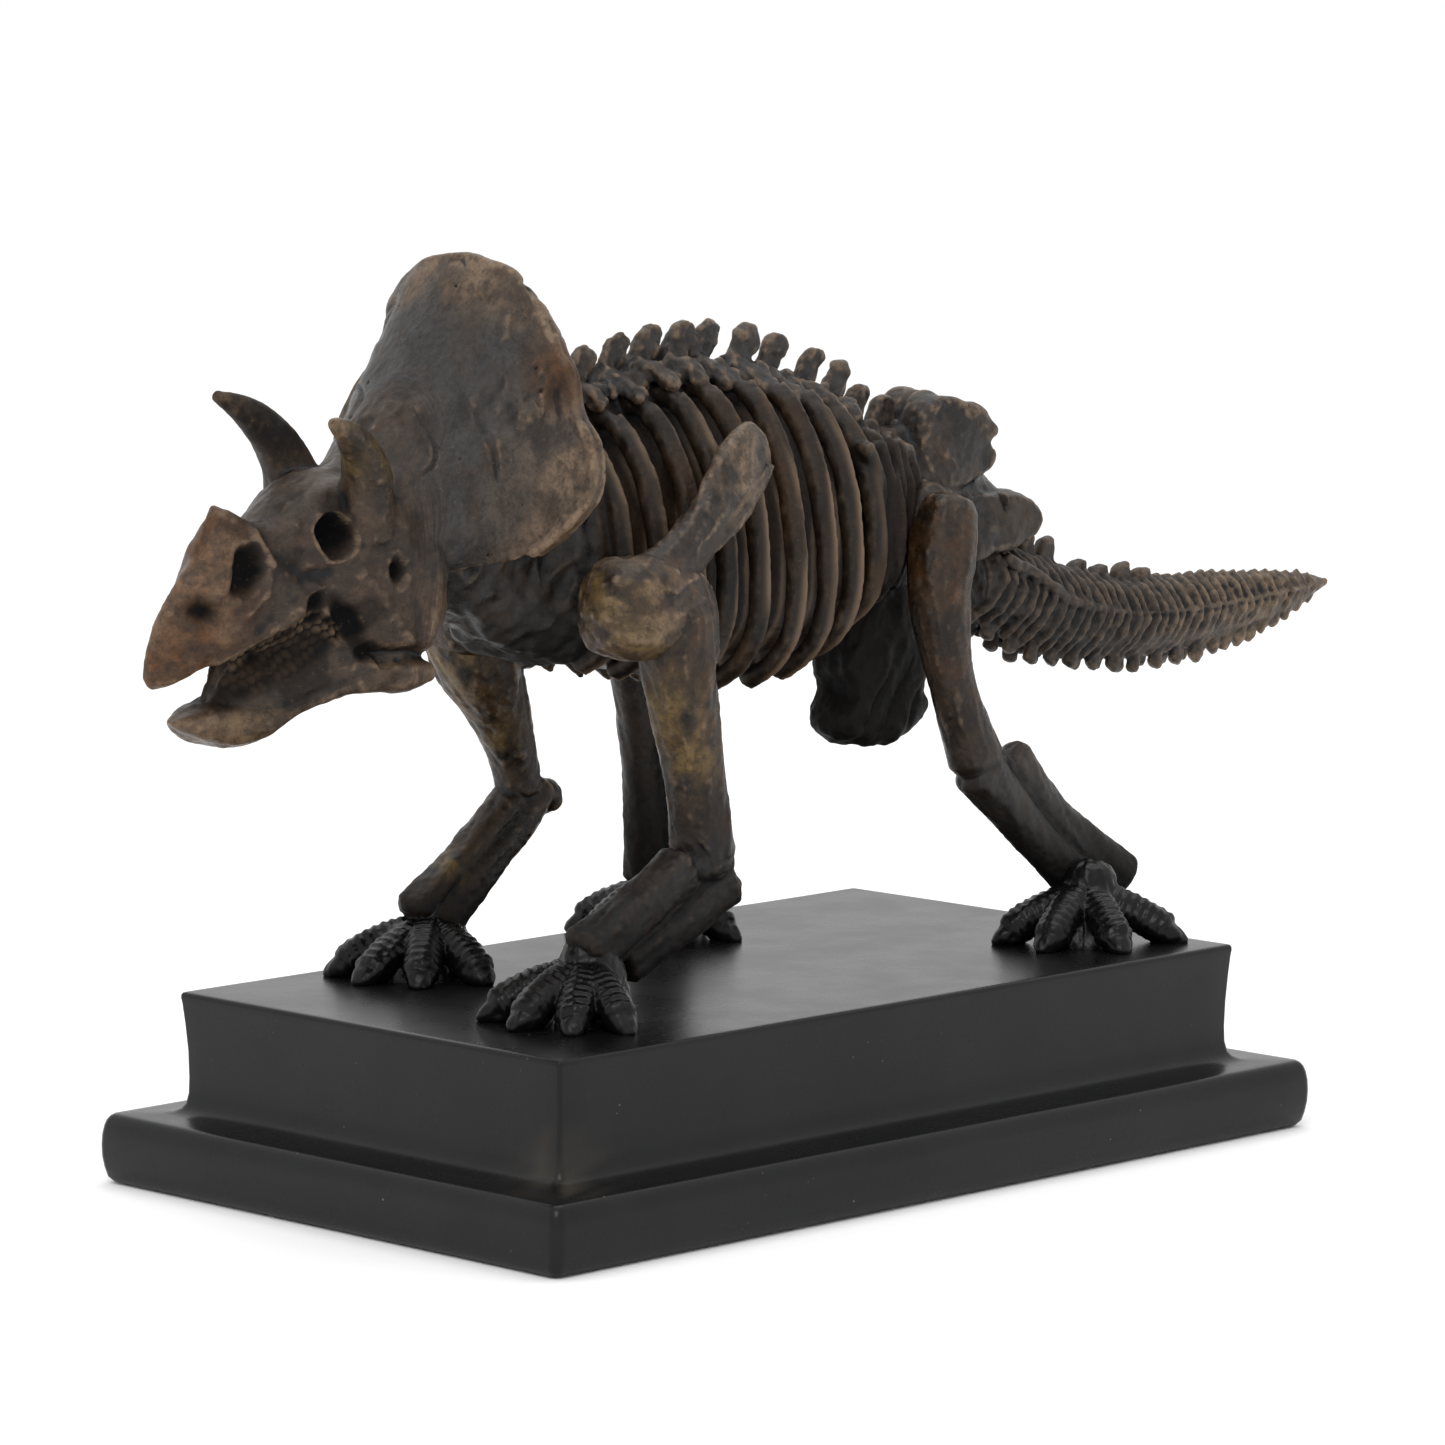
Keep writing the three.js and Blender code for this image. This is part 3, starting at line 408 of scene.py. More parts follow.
class Finish:
    """A material in the making: its colour so far and the makers of its nodes."""

    def __init__(self, name, colour):
        self.material = bpy.data.materials.new(name)
        self.material.use_nodes = True
        self.tree = self.material.node_tree
        self.place = self.node("TexCoord").outputs["Object"]
        self.colour = colour

    def give(self, socket, value):
        if isinstance(value, bpy.types.NodeSocket):
            self.tree.links.new(value, socket)
        else:
            socket.default_value = value

    def node(self, kind, inputs=(), **settings):
        made = self.tree.nodes.new("ShaderNode" + kind)
        for key, value in settings.items():
            setattr(made, key, value)
        for key, value in dict(inputs).items():
            self.give(made.inputs[key], value)
        return made

    def noise(self, place, size, detail, rough):
        """Noise with features of a size in millimetres."""
        inputs = {"Vector": place, "Scale": 1000 / size, "Detail": detail, "Roughness": rough}
        return self.node("TexNoise", inputs).outputs["Fac"]

    def spread(self, value, low, high, first=0.0, last=1.0):
        inputs = {"Value": value, 1: low, 2: high, 3: first, 4: last}
        return self.node("MapRange", inputs, interpolation_type="SMOOTHSTEP").outputs[0]

    def sum(self, a, b, operation="ADD"):
        return self.node("Math", {0: a, 1: b}, operation=operation).outputs[0]

    def times(self, a, b):
        return self.sum(a, b, "MULTIPLY")

    def layer(self, name, output="Fac"):
        return self.node("Attribute", attribute_name=name).outputs[output]

    def coat(self, amount, tone):
        """Cover the colour so far with an amount of a tone."""
        inputs = {0: amount, 6: self.colour, 7: tone}
        self.colour = self.node("Mix", inputs, data_type="RGBA").outputs[2]

    def closed(self, rough, shine, grit, strength, deep):
        """The material with its roughness, shine and fine relief, deep in metres."""
        rise = self.node("Bump", {"Strength": strength, "Distance": deep, "Height": grit})
        sockets = self.tree.nodes["Principled BSDF"].inputs
        self.give(sockets["Base Color"], self.colour)
        self.give(sockets["Roughness"], rough)
        self.give(sockets["Specular IOR Level"], shine)
        self.give(sockets["Normal"], rise.outputs["Normal"])
        return self.material


def patina(name, gloss=0.3, shine=0.26, matt=0.5, coarse=0.5):
    """Dark resin with its high places brushed tan and its hollows left black, partly as a dark wash
    and partly as painted shade.

    Matt says how far the black coat, painted shade included, dulls it, coarse how strong its fine
    relief is."""
    paint = Finish(name, UMBER)
    flow = paint.layer("flow", "Vector")
    mottle = paint.noise(flow, 8, 7, 0.68)
    brush = paint.layer("dry")
    soot = paint.layer("soot")
    scratch = paint.spread(paint.noise(flow, 2.4, 6, 0.66), 0.4, 0.6, 0.25, 1)
    paint.coat(paint.spread(mottle, 0.4, 0.68), BROWN)
    broken = paint.spread(paint.noise(flow, 5, 8, 0.72), 0.38, 0.62, 0.25, 1)
    for key, tone in (("slate", SLATE), ("amber", AMBER), ("ochre", OCHRE), ("clay", TAN)):
        paint.coat(paint.times(paint.layer(key), broken), tone)
    for key, low, high, most in (("swell", 0.4, 1, 0.22), ("edge", 0.2, 0.8, 0.95)):
        raised = paint.times(paint.spread(paint.layer(key), low, high, 0, most), scratch)
        paint.coat(paint.times(raised, brush), TAN)
    # Black in the hollows and creases, partly the resin's dark wash and partly painted shade.
    for key, low, high, most in (("swell", -0.75, -0.05, 0.95), ("edge", -0.8, -0.15, 0.9)):
        paint.coat(paint.spread(paint.layer(key), low, high, most, 0), BLACK)
    grime = paint.noise(paint.place, 1.5, 8, 0.8)
    paint.coat(paint.spread(grime, 0.36, 0.56, 0.5, 0), BLACK)
    # The black coat: black paint, and painted shade where a piece puts it there.
    paint.coat(soot, BLACK)
    paint.coat(paint.layer("chalk"), TAN)
    # Pale tan flecks where the paint is dry-brushed: partly specks of paint, partly painted
    # highlights.
    flecks = paint.spread(paint.noise(paint.place, 1.1, 6, 0.74), 0.6, 0.7, 0, 0.4)
    paint.coat(paint.times(flecks, brush), TAN)
    rough = paint.spread(mottle, 0.3, 0.7, gloss - 0.08, gloss + 0.12)
    if matt:
        rough = paint.sum(rough, paint.spread(soot, 0, 1, 0, 0.6 * matt))
        shine = paint.spread(soot, 0, 1, shine, shine * (1 - matt))
    return paint.closed(rough, shine, paint.noise(paint.place, 1.1, 8, 0.72), coarse, 0.0005)


def satin(name):
    """Charcoal satin paint with a faint orange-peel, rubbed patches and specks of dust."""
    paint = Finish(name, CHARCOAL)
    place = paint.place
    paint.coat(paint.spread(paint.noise(place, 30, 4, 0.6), 0.35, 0.68), WORN_CHARCOAL)
    paint.coat(paint.layer("smudge"), EARTH)
    cells = paint.node("TexVoronoi", {"Vector": place, "Scale": 330.0})
    dot = paint.spread(cells.outputs["Distance"], 0.04, 0.1, 1, 0)
    few = paint.spread(paint.noise(place, 9, 3, 0.6), 0.55, 0.7, 0, 0.5)
    paint.coat(paint.times(dot, few), DUST)
    gloss = paint.spread(paint.noise(place, 16, 4, 0.6), 0.3, 0.7, 0.26, 0.3)
    return paint.closed(gloss, 0.22, paint.noise(place, 2.2, 3, 0.5), 0.12, 0.0002)


BONE = patina("bone_patina")
HEAD_BONE = patina("head_patina", gloss=0.33, matt=0.75)
FOOT = patina("foot_black", gloss=0.24, shine=0.2, matt=0, coarse=0.15)
PLINTH = satin("plinth_satin")


# Head, drawn straight and then leant over: its right side higher, turned to its left.
def head_place(roll=6, turn=4, pivot=(-95, MID, 156)):
    r, t = math.radians(roll), math.radians(turn)
    about_x = np.array([[1, 0, 0], [0, math.cos(r), -math.sin(r)], [0, math.sin(r), math.cos(r)]])
    about_z = np.array([[math.cos(t), -math.sin(t), 0], [math.sin(t), math.cos(t), 0], [0, 0, 1]])
    matrix = np.eye(4)
    matrix[:3, :3] = about_z @ about_x
    matrix[:3, 3] = np.array(pivot) - matrix[:3, :3] @ np.array(pivot)
    return matrix


HEAD = head_place()

# x, top, foot, half-width, ridge, squareness from the beak's tip to the back of the skull.
SKULL_ROWS = [
    [-162.4, 127, 121.5, 1.2, 0.2, 0.1], [-160.2, 132.5, 119.4, 3, 0.4, 0.15],
    [-155.6, 139.6, 120.4, 5, 0.5, 0.2], [-150, 146.2, 123, 7, 0.55, 0.25],
    [-147, 153.5, 124.2, 8, 0.6, 0.3], [-143.6, 156.8, 124.6, 9, 0.62, 0.3],
    [-138.4, 154.8, 125, 9.8, 0.5, 0.3], [-133, 154, 124.6, 10.8, 0.3, 0.35],
    [-127, 158, 124, 13, 0.3, 0.4], [-119, 161.5, 123, 16, 0.25, 0.45],
    [-110, 162.5, 121.5, 18.6, 0.2, 0.5], [-102, 160.5, 121.5, 21.2, 0.2, 0.5],
    [-94, 157, 123.4, 21.2, 0.2, 0.4], [-88, 152, 136, 14, 0.2, 0.2],
]
GUM_ROWS = [
    [-143.8, 116.6, 112.4, 1.4, 0], [-141.6, 120.4, 112.6, 2.8, 0], [-139, 125, 112.8, 4.4, 0],
    [-136, 128, 113, 6.4, 0], [-131, 131, 113.6, 9, 0], [-126, 132, 115, 11.4, 0],
    [-118, 132, 118, 14, 0], [-110, 131, 121, 16.6, 0],
]
JAW_ROWS = [
    [-154.6, 112.8, 111.4, 1, 0, 0.2], [-151.4, 113.6, 109.4, 3.6, 0, 0.2],
    [-146, 115, 107, 6, 0, 0.2], [-140, 116.2, 105.3, 7.8, 0, 0.2],
    [-133, 117, 106.6, 9.6, 0, 0.2], [-126, 118.4, 111.4, 12, 0, 0.2],
    [-118.6, 121, 115, 14.8, 0, 0.3], [-110, 124.4, 116.4, 18, 0, 0.4],
    [-102, 125.4, 116.2, 20.8, 0, 0.4], [-95.4, 124.4, 117.6, 20.8, 0, 0.3],
]
CHEEK_ROWS = [
    [-143, 117, 110, 2.8, 0], [-139, 120, 110, 5.4, 0], [-136, 122, 110.4, 7.2, 0],
    [-131, 124, 111, 9.6, 0], [-126, 126, 113.4, 12, 0], [-118, 128, 116.4, 14.8, 0],
    [-110, 128, 119, 17.6, 0],
]

# The frill's rim: degrees from its top, towards its right, and the reach there.
RIM_ROWS = [
    [-118, 0.93], [-112, 0.89], [-104, 0.88], [-96, 0.875], [-88, 0.865], [-80, 0.835],
    [-72, 0.785], [-64, 0.785], [-56, 0.83], [-48, 0.825], [-40, 0.84], [-32, 0.875],
    [-24, 0.93], [-16, 0.975], [-6, 0.975], [4, 0.995], [16, 0.99], [24, 0.985], [32, 0.96],
    [40, 0.91], [48, 0.84], [56, 0.783], [64, 0.772], [72, 0.802], [80, 0.845], [88, 0.905],
    [96, 0.95], [104, 0.935], [118, 0.88],
]
FRILL_SWEEP = 118
FRILL_RIM_THICK = 3.0
FRILL_ROOT_THICK = 5.0


def frill_point(s, t):
    """A point of the frill's front: s from root to rim, t from its left end to its right end."""
    s, t = np.broadcast_arrays(np.asarray(s, float), np.asarray(t, float))
    angle = np.radians(FRILL_SWEEP * t)
    low = (1 - np.cos(angle)) / 1.47
    root = np.stack([-108 + 15 * low, 18.5 * np.sin(angle), 148.5 + 14.5 * np.cos(angle)], -1)
    wave = along(RIM_ROWS, FRILL_SWEEP * t.ravel())[:, 1].reshape(t.shape)
    back = -66 - 4 * (1 - low) - 2 * low**2
    rim = np.stack([back, 43 * wave * np.sin(angle), 166.5 + 41.5 * wave * np.cos(angle)], -1)
    reach = s * (1 - 0.45 * (np.maximum(0, np.abs(t) - 0.78) / 0.22) ** 2)
    power = np.stack([reach**0.95, reach**1.25, reach**1.25], -1)
    return root + (rim - root) * power + [0, MID, 0]


def frill(down=44, across=150):
    s = np.linspace(0.001, 1, down)[None]
    t = np.linspace(-1, 1, across)[:, None]
    front = frill_point(s, t)
    ds = frill_point(np.minimum(s + 0.01, 1), t) - frill_point(np.maximum(s - 0.01, 0), t)
    dt = frill_point(s, t + 0.01) - frill_point(s, t - 0.01)
    out = unit(np.cross(ds, dt))
    out *= np.where(out[..., :1] < 0, -1, 1)
    edge = np.minimum(1, (1 - np.abs(t)) * 6)
    thick = (FRILL_ROOT_THICK + (FRILL_RIM_THICK - FRILL_ROOT_THICK) * s) * (0.45 + 0.55 * edge)
    back = front + out * thick[..., None]
    lip = (front[:, -1:] + back[:, -1:]) / 2 + unit(front[:, -1:] - front[:, -2:-1])
    return loft(np.concatenate([front, lip, back[:, ::-1]], axis=1), HEAD)


def rim_roll(s, lift, radius, top):
    """A rolled edge that follows the frill's rim, its radius given at the ends and at the top."""
    t = np.linspace(-0.97, 0.97, 60)
    points = frill_point(np.full(len(t), s), t) - [0, MID, 0]
    points[:, 0] += lift
    thick = top + (radius - top) * ramp(np.abs(t), 0.35, 0.75)
    return bone(columns(points, thick, thick), 170, 10, face=(1, 0, 0.1), matrix=HEAD)


def horn(side, back):
    rows = [
        [back - 110, side * 10.4, 152, 7.4, 7.4],
        [back - 111.4, side * 11.6, 157, 6.5, 6.6],
        [back - 113.4, side * 13.2, 163.4, 5.6, 5.6],
        [back - 118, side * 15.2, 169.8, 4.4, 4.4],
        [back - 123.4, side * 16.8, 174, 3.1, 3.1],
        [back - 130, side * 18.4, 177.2, 1.4, 1.2],
    ]
    return bone(rows, face=(1, 0, 0.3), matrix=HEAD)


def teeth(side):
    """Bead-like teeth down the front edge of the mouth's side."""
    beads = []
    for f in np.linspace(0, 1, 9):
        size = [rng.uniform(0.9, 1.25)] * 3
        beads.append(ball(-138.6 - 4.6 * f, side * (3.6 - 2.2 * f), 125 - 9 * f, *size, HEAD, 10))
    return beads


def skull():
    parts = [bulk(SKULL_ROWS, 90, 60, HEAD), bulk(GUM_ROWS, 40, 40, HEAD), frill()]
    parts += [bulk(CHEEK_ROWS, 40, 40, HEAD), bulk(JAW_ROWS, 60, 40, HEAD)]
    parts += [rim_roll(0.97, 0.9, 1.5, 0.7), rim_roll(0.965, 3.2, 1.5, 1.3)]
    parts += [horn(-1, 0), horn(1, 1.8)]
    nose = [[-139, 0, 151, 5, 4], [-143.6, 0, 155, 3.2, 2.6], [-145.6, 0, 157.4, 1.2, 1]]
    parts.append(bone(nose, matrix=HEAD))
    for side in SIDES:
        parts += teeth(side)
    return cast(parts, voxel=0.45)


# Hollows in the side of the head: x, z, half-length, half-height, lean in degrees, depth. The
# first ones, eye and nose, have steep walls and a raised lip.
LIPPED = 2
HOLLOWS = [
    [-121.2, 151.6, 3.2, 3.6, 0, 6], [-141.6, 144.6, 3.1, 5.1, -25, 2.2],
    [-151.6, 136.6, 3, 2.5, 0, 1.6], [-106.8, 143.5, 1.8, 2.4, 0, 3.2],
    [-125.4, 137.4, 2.7, 2.1, 0, 2], [-118.2, 133, 2.1, 6.6, 35, 2],
    [-112, 126.6, 2.4, 1.8, 0, 1.4],
]
# Ridges and grooves on the side of the head: height, width, then places as x and z.
STROKES = [
    [1.5, 1.4, [[-147, 124.8], [-140.8, 128.3], [-134.4, 132.4], [-128.9, 136.5], [-125, 140.6]]],
    [0.8, 1.3, [[-161, 120.8], [-155.3, 121.8], [-149, 124], [-146, 125.2]]],
    [1.1, 1.5, [[-138, 151.6], [-135.2, 146], [-137, 139.6], [-141, 135.6]]],
    [0.9, 1.4, [[-148, 149], [-147.6, 143], [-149, 139]]],
    [1.8, 2.6, [[-116, 143.6], [-109, 135], [-105, 128.6]]],
    [-0.7, 1.6, [[-103.6, 144], [-101, 135], [-100, 128]]],
    [1.2, 1.8, [[-97, 147], [-96.6, 138], [-98, 129]]],
    [-1.9, 1.3, [[-110, 125.6], [-104, 126.4], [-96, 125]]],
    [-1.0, 1.5, [[-133, 147], [-128, 143], [-123, 143.6]]],
]
# The mouth's upper line, x and z.
MOUTH = np.array([
    [-147, 124.4], [-140.8, 127.4], [-134.4, 131.4], [-128.9, 135], [-124, 136.4], [-118, 132],
])


def oval(local, x, z, wide, tall, lean):
    """How far each corner lies from the middle of an oval on the head's side, 1 at its edge."""
    c, s = math.cos(math.radians(lean)), math.sin(math.radians(lean))
    dx, dz = local[:, 0] - x, local[:, 2] - z
    return np.hypot((c * dx + s * dz) / wide, (c * dz - s * dx) / tall)


def stroke(places, way, width):
    """A soft line mask along places."""
    mask = np.zeros(len(places))
    for a, b in zip(np.array(way[:-1], float), np.array(way[1:], float)):
        f = np.clip((places - a) @ (b - a) / np.sum((b - a) ** 2), 0, 1)
        gap = np.linalg.norm(places - a - f[:, None] * (b - a), axis=1)
        mask = np.maximum(mask, np.exp(-((gap / width) ** 2)))
    return mask


def tooth_patch(local):
    """The patch of teeth on the side of the mouth, and the beads in it, from 0 to 1."""
    x, _, z = local.T
    above = np.interp(x, *MOUTH.T)
    below = np.interp(x, [-146, -138, -130, -124, -119], [114, 116.4, 120.4, 124.6, 129])
    patch = ramp(above - z, 0.3, 1.8) * ramp(z - below, -2.4, 2)
    patch *= ramp(x, -146, -144) * (1 - ramp(x, -121, -117))
    sway = 0.35 * grain(local, 4, 19)
    a = (0.84 * x + 0.54 * z) / 1.9 + sway
    b = (0.84 * z - 0.54 * x) / 2.2 - sway
    a = a + 0.5 * (np.floor(b) % 2)
    away = 4 * ((a % 1 - 0.5) ** 2 + (b % 1 - 0.5) ** 2)
    upper = 0.15 + 0.85 * (1 - ramp(above - z, 3.2, 6))
    return patch, upper * np.sqrt(np.maximum(0, 1 - away))


def head_piece():
    skin = skull()
    skin.relax(2)
    local = placed(skin.at, np.linalg.inv(HEAD)) - [0, MID, 0]
    x, u, z = local.T
    radial = np.hypot(u / 40, (z - 166.5) / 40)
    shield = ramp(x, -104, -93) * ramp(radial, 0.22, 0.42)
    flank = ramp(np.abs(u), 1, 3) * (1 - shield) * (1 - ramp(z, 160, 164))
    lift = np.zeros(len(x))
    holes = np.zeros(len(x))
    for number, (*place, deep) in enumerate(HOLLOWS):
        lipped = number < LIPPED
        away = np.maximum(0, oval(local, *place) + 0.16 * grain(local, 2.6, 25))
        lift -= deep * np.exp(-(away ** (4 if lipped else 2.4)))
        holes = np.maximum(holes, np.exp(-((away / 1.25) ** (6 if lipped else 3))))
        if lipped:
            lift += (0.6 - 0.2 * number) * np.exp(-(((away - 1.42) / 0.24) ** 2))
    for high, width, way in STROKES:
        lift += high * stroke(local[:, [0, 2]], way, width)
    patch, beads = tooth_patch(local)
    lift += patch * (1.15 * beads - 0.6 - 1.5 * ramp(z, 122, 127) + 0.5 * grain(local, 2.6, 15))
    skin.at = skin.at + HEAD[:3, 1] * (np.sign(u) * lift * flank)[:, None]
    skin.relax(1)
    horns = ramp(z, 161, 168) * ramp(-x, 104, 108)
    rough = (1 - shield) * (1 - 0.7 * patch) * (1 - 0.55 * horns)
    skin.push(rough * (0.6 * grain(local * [0.5, 1, 0.6], 4.6, 3) + 0.13 * grain(local, 1.7, 7)))
    skin.push(shield * (0.8 * grain(local, 15, 1) + 0.34 * grain(local, 5, 5)))
    corner = ramp(-u, 8, 16) * ramp(z, 170, 178)
    bark = shield * (0.35 * ramp(grain(local, 15, 4), -0.25, 0.35) + corner)
    cracks = ramp(grain(local * [1, 1, 0.35], 1.7, 9), 0.35, 0.8)
    ridged = grain(local * [1, 1, 0.3], 3.4, 13)
    skin.push(bark * (0.95 * ridged - 0.3 * cracks) + 0.08 * grain(local, 1.3, 6))
    creases = np.abs(grain(local * [1, 1, 0.6], 8, 41))
    creased = ramp(grain(local, 17, 43), -0.1, 0.4)
    skin.push(-0.7 * shield * (1 - ramp(creases, 0, 0.16)) * creased)
    pits = ramp(grain(local, 2.1, 12), 0.84, 0.95) * shield
    skin.push(-0.4 * pits)
    fold = [[-71.3, -10.5, 198.3], [-75.2, -14, 189], [-79.5, -16.6, 173.2]]
    skin.push(-0.8 * stroke(skin.at, fold, 1.2))
    streaks = grain(local * [0.5, 1, 0.2], 1.6, 2)
    skin.push(0.17 * streaks * rough)
    beak = ramp(-x, 134, 152) * ramp(z, 118, 121)
    rim = ramp(radial, 0.72, 0.95) * shield
    lobe = ramp(-u, 18, 35) * shield * (1 - ramp(z, 180, 190))
    worn = ramp(grain(local, 7, 2) + 0.5 * grain(local, 2.2, 21), -0.6, 0.5)
    crown = ramp(z, 190, 202) * shield
    near = ramp(-u, 4, 8)
    high = z - 111.6 - 0.25 * np.maximum(0, x + 138)
    jaw = (1 - ramp(high, 0.5, 4)) * (1 - ramp(x, -142, -124)) * (1 - patch)
    hinge = spot(local, (-103, -19, 121), (9, 30, 4)) + spot(local, (-103, 19, 121), (9, 30, 4))
    rust = spot(skin.at, (-66.5, -22, 183), (10, 7, 6))
    hem = rim * (1 - ramp(z, 152, 164))
    smoke = ramp(grain(local, 7, 27) + 0.4 * grain(local, 2.4, 35), -0.1, 0.6)
    skullcap = (1 - shield) * (1 - horns) * (1 - beak) * (1 - patch) * (1 - jaw)
    tinted = (0.45 * rim + 0.6 * lobe + 0.32 * crown) * (0.35 + 0.65 * worn)
    tinted *= (1 - 1.8 * rust).clip(0, 1)
    amber = beak * (1 + 0.2 * streaks) + 1.8 * rust + 0.35 * jaw + 0.14 * skullcap + 0.5 * hem
    clay = tinted + 0.42 * jaw + 0.3 * hinge + 0.14 * skullcap * worn + 0.36 * beak * worn
    slate = shield * (0.9 - 0.7 * rim - 0.4 * lobe - 0.6 * crown - rust) + 0.3 * skullcap
    chalk = 0.6 * beads * patch * flank * ramp(grain(local, 3, 17), -0.7, 0.3)
    # Black in the head's hollows is partly dark wash and partly painted shade; the tooth patch, the
    # pits and the rust are darkened too.
    soot = 0.97 * holes * flank + 0.4 * rust + 0.72 * patch * flank + 0.5 * pits
    # Painted shade darkens the far horn, while the near horn is brushed ochre.
    soot = soot + 0.5 * horns * (1 - near) + 0.45 * skullcap * smoke
    skin.flow = local * columns(1 - 0.5 * (1 - shield), np.ones(len(x)), 1 - 0.4 * shield)
    nodes = ["skull", "frill", "brow_horn_left", "brow_horn_right", "lower_jaw"]
    skin.piece(
        "head", nodes, "bone_brown", HEAD_BONE,
        amber=amber.clip(0, 1),
        ochre=(0.4 * horns * near * worn + 0.3 * jaw * worn).clip(0, 1),
        clay=clay.clip(0, 1),
        slate=slate.clip(0, 1),
        chalk=chalk.clip(0, 1),
        soot=soot.clip(0, 1),
        dry=(0.75 + 0.25 * rim) * (1 - 0.6 * patch) * (1 - 0.5 * rust) * (1 - 0.4 * beak),
    )


# x, top, foot, half-width, ridge of the solid inside the ribs.
CHEST_ROWS = [
    [-60, 158, 123, 14, 0.3], [-46, 166, 116, 20, 0.35], [-30, 172, 112, 23.5, 0.4],
    [-10, 175.5, 108.5, 25.4, 0.4], [8, 176.5, 107.5, 25.8, 0.4], [22, 174.5, 110, 24.8, 0.4],
    [34, 170, 117, 22.2, 0.4], [46, 163, 124, 18.4, 0.35], [58, 156, 132, 13.4, 0.3],
]
NECK_ROWS = [
    [-97, 154, 138, 10, 0.1], [-84, 160, 133, 12.6, 0.15], [-72, 166, 126, 15.6, 0.2],
    [-60, 170, 119, 18.6, 0.25], [-46, 170, 115.5, 20.5, 0.3], [-38, 166, 119, 17, 0.3],
]

# Where the tips of the back's spines stand, x and z.
SPINE_TIPS = [
    [-54, 175.5], [-44.5, 181], [-34.3, 185.7], [-23.4, 188.2], [-13.5, 189.6], [-3.4, 190],
    [5, 189.6], [17.3, 188.1], [26.4, 185.8], [38.5, 181.8], [47.1, 178.2], [54.2, 172.8],
    [62.5, 169.5], [69, 164.6],
]
RIB_XS = [-43.5, -34, -24.3, -15, -5.2, 6.4, 16.6, 26.4, 36.2, 44.6]
# Where a rib starts beside the spine and how far it turns round the chest, in radians.
RIB_START = 0.2
RIB_TURN = 2.58


def rib_lean(f):
    """How far back a rib leans at a share of its run."""
    return 1.8 * np.sin(np.pi * f) - 3 * np.maximum(0, f - 0.55)


def ribs(side):
    """Rods from a knob beside the backbone, round the flank and forward under the belly."""
    made = []
    for x in RIB_XS:
        row = along(CHEST_ROWS, x)[0]
        rows = []
        crest = []
        for f in np.linspace(0, 1, 10):
            angle = side * (RIB_START + RIB_TURN * f)
            across, up = math.sin(angle), math.cos(angle)
            u, z = section(row, angle)
            lift = 1.4 * math.sin(math.pi * (0.1 + 0.8 * f))
            thin = 0.8 + 0.2 * math.sin(math.pi * min(1, f + 0.2))
            ahead = x + rib_lean(f)
            u += lift * across
            z += lift * up
            out = 2.2 * thin
            rows.append([ahead, u, z, 2.35 * thin, out])
            crest.append([ahead + 1.2, u + out * across, z + out * up, 0.85, 0.8])
        made.append(bone(rows, steps=44, sides=14))
        made.append(bone(crest[1:], steps=44, sides=10))
        u, z = section(row, side * 0.24)
        made.append(ball(x - 0.2, u, z + 0.6, 2.6, 3.2, 2.8))
    return made


def vertebra(x, top):
    """A blade leaning back over a knobbly arch."""
    lean = rng.uniform(-0.6, 0.6)
    blade = [[-8.6 - lean, -14], [-7.4 - lean, -9], [-5, -4], [-2.6, -0.8], [0.2, 0.2]]
    blade += [[2.6, -0.8], [3.2, -3 + lean], [0.8, -7], [-2.4, -11], [-2.8, -14]]
    parts = [slab([[x + dx, top + dz] for dx, dz in blade], 0, rng.uniform(1.2, 1.6), 0.3)]
    foot = top - 11
    for side in SIDES:
        reach = rng.uniform(7.6, 9.2)
        lift = rng.uniform(-1, 1)
        arm = [
            [x - 5, side * 1.5, foot + 1.5, 2.6, 3.2],
            [x - 3.6, side * 5, foot + 0.4 + lift, 2, 2.6],
            [x - 1.6, side * reach, foot - 2.8 + lift, 1.7, 2.2],
        ]
        parts.append(bone(arm, steps=10, sides=12, square=0.25))
        parts.append(ball(x + 0.6, side * 3.2, foot + 1.2, 2.2, 1.6, 1.8))
        parts.append(ball(x - 7, side * 4.2, foot - 1.6, 1.8, 2.4, 2.6))
        strut = [[x - 6, side * 2, foot + 3.4], [x + 1.4, side * 4.6, foot - 0.6]]
        parts.append(bone([[*place, 1.1, 1.2] for place in strut], steps=8, sides=10))
    return parts


LOIN_ROWS = [
    [34, 150, 118, 12, 0.3], [46, 150, 119, 12, 0.3], [58, 150, 121, 11, 0.3],
    [70, 148, 124, 9, 0.3],
]
# Strands of the flank: x, offset from the midline, z, on the animal's right.
FLANK = [
    [[37, 18.6, 160], [42, 17.8, 148], [42, 16.2, 136], [36, 14, 125]],
    [[42, 17.4, 160], [46.5, 16.8, 148], [46.5, 15, 136], [41, 13, 124]],
    [[47, 16, 160], [51, 15.4, 148], [51, 14, 136], [47, 12, 125]],
    [[51, 14.6, 160], [55, 14.4, 148], [55.5, 13, 136], [53, 11.4, 127]],
    [[56, 13.4, 158], [59, 13, 147], [59.5, 12, 137]],
]


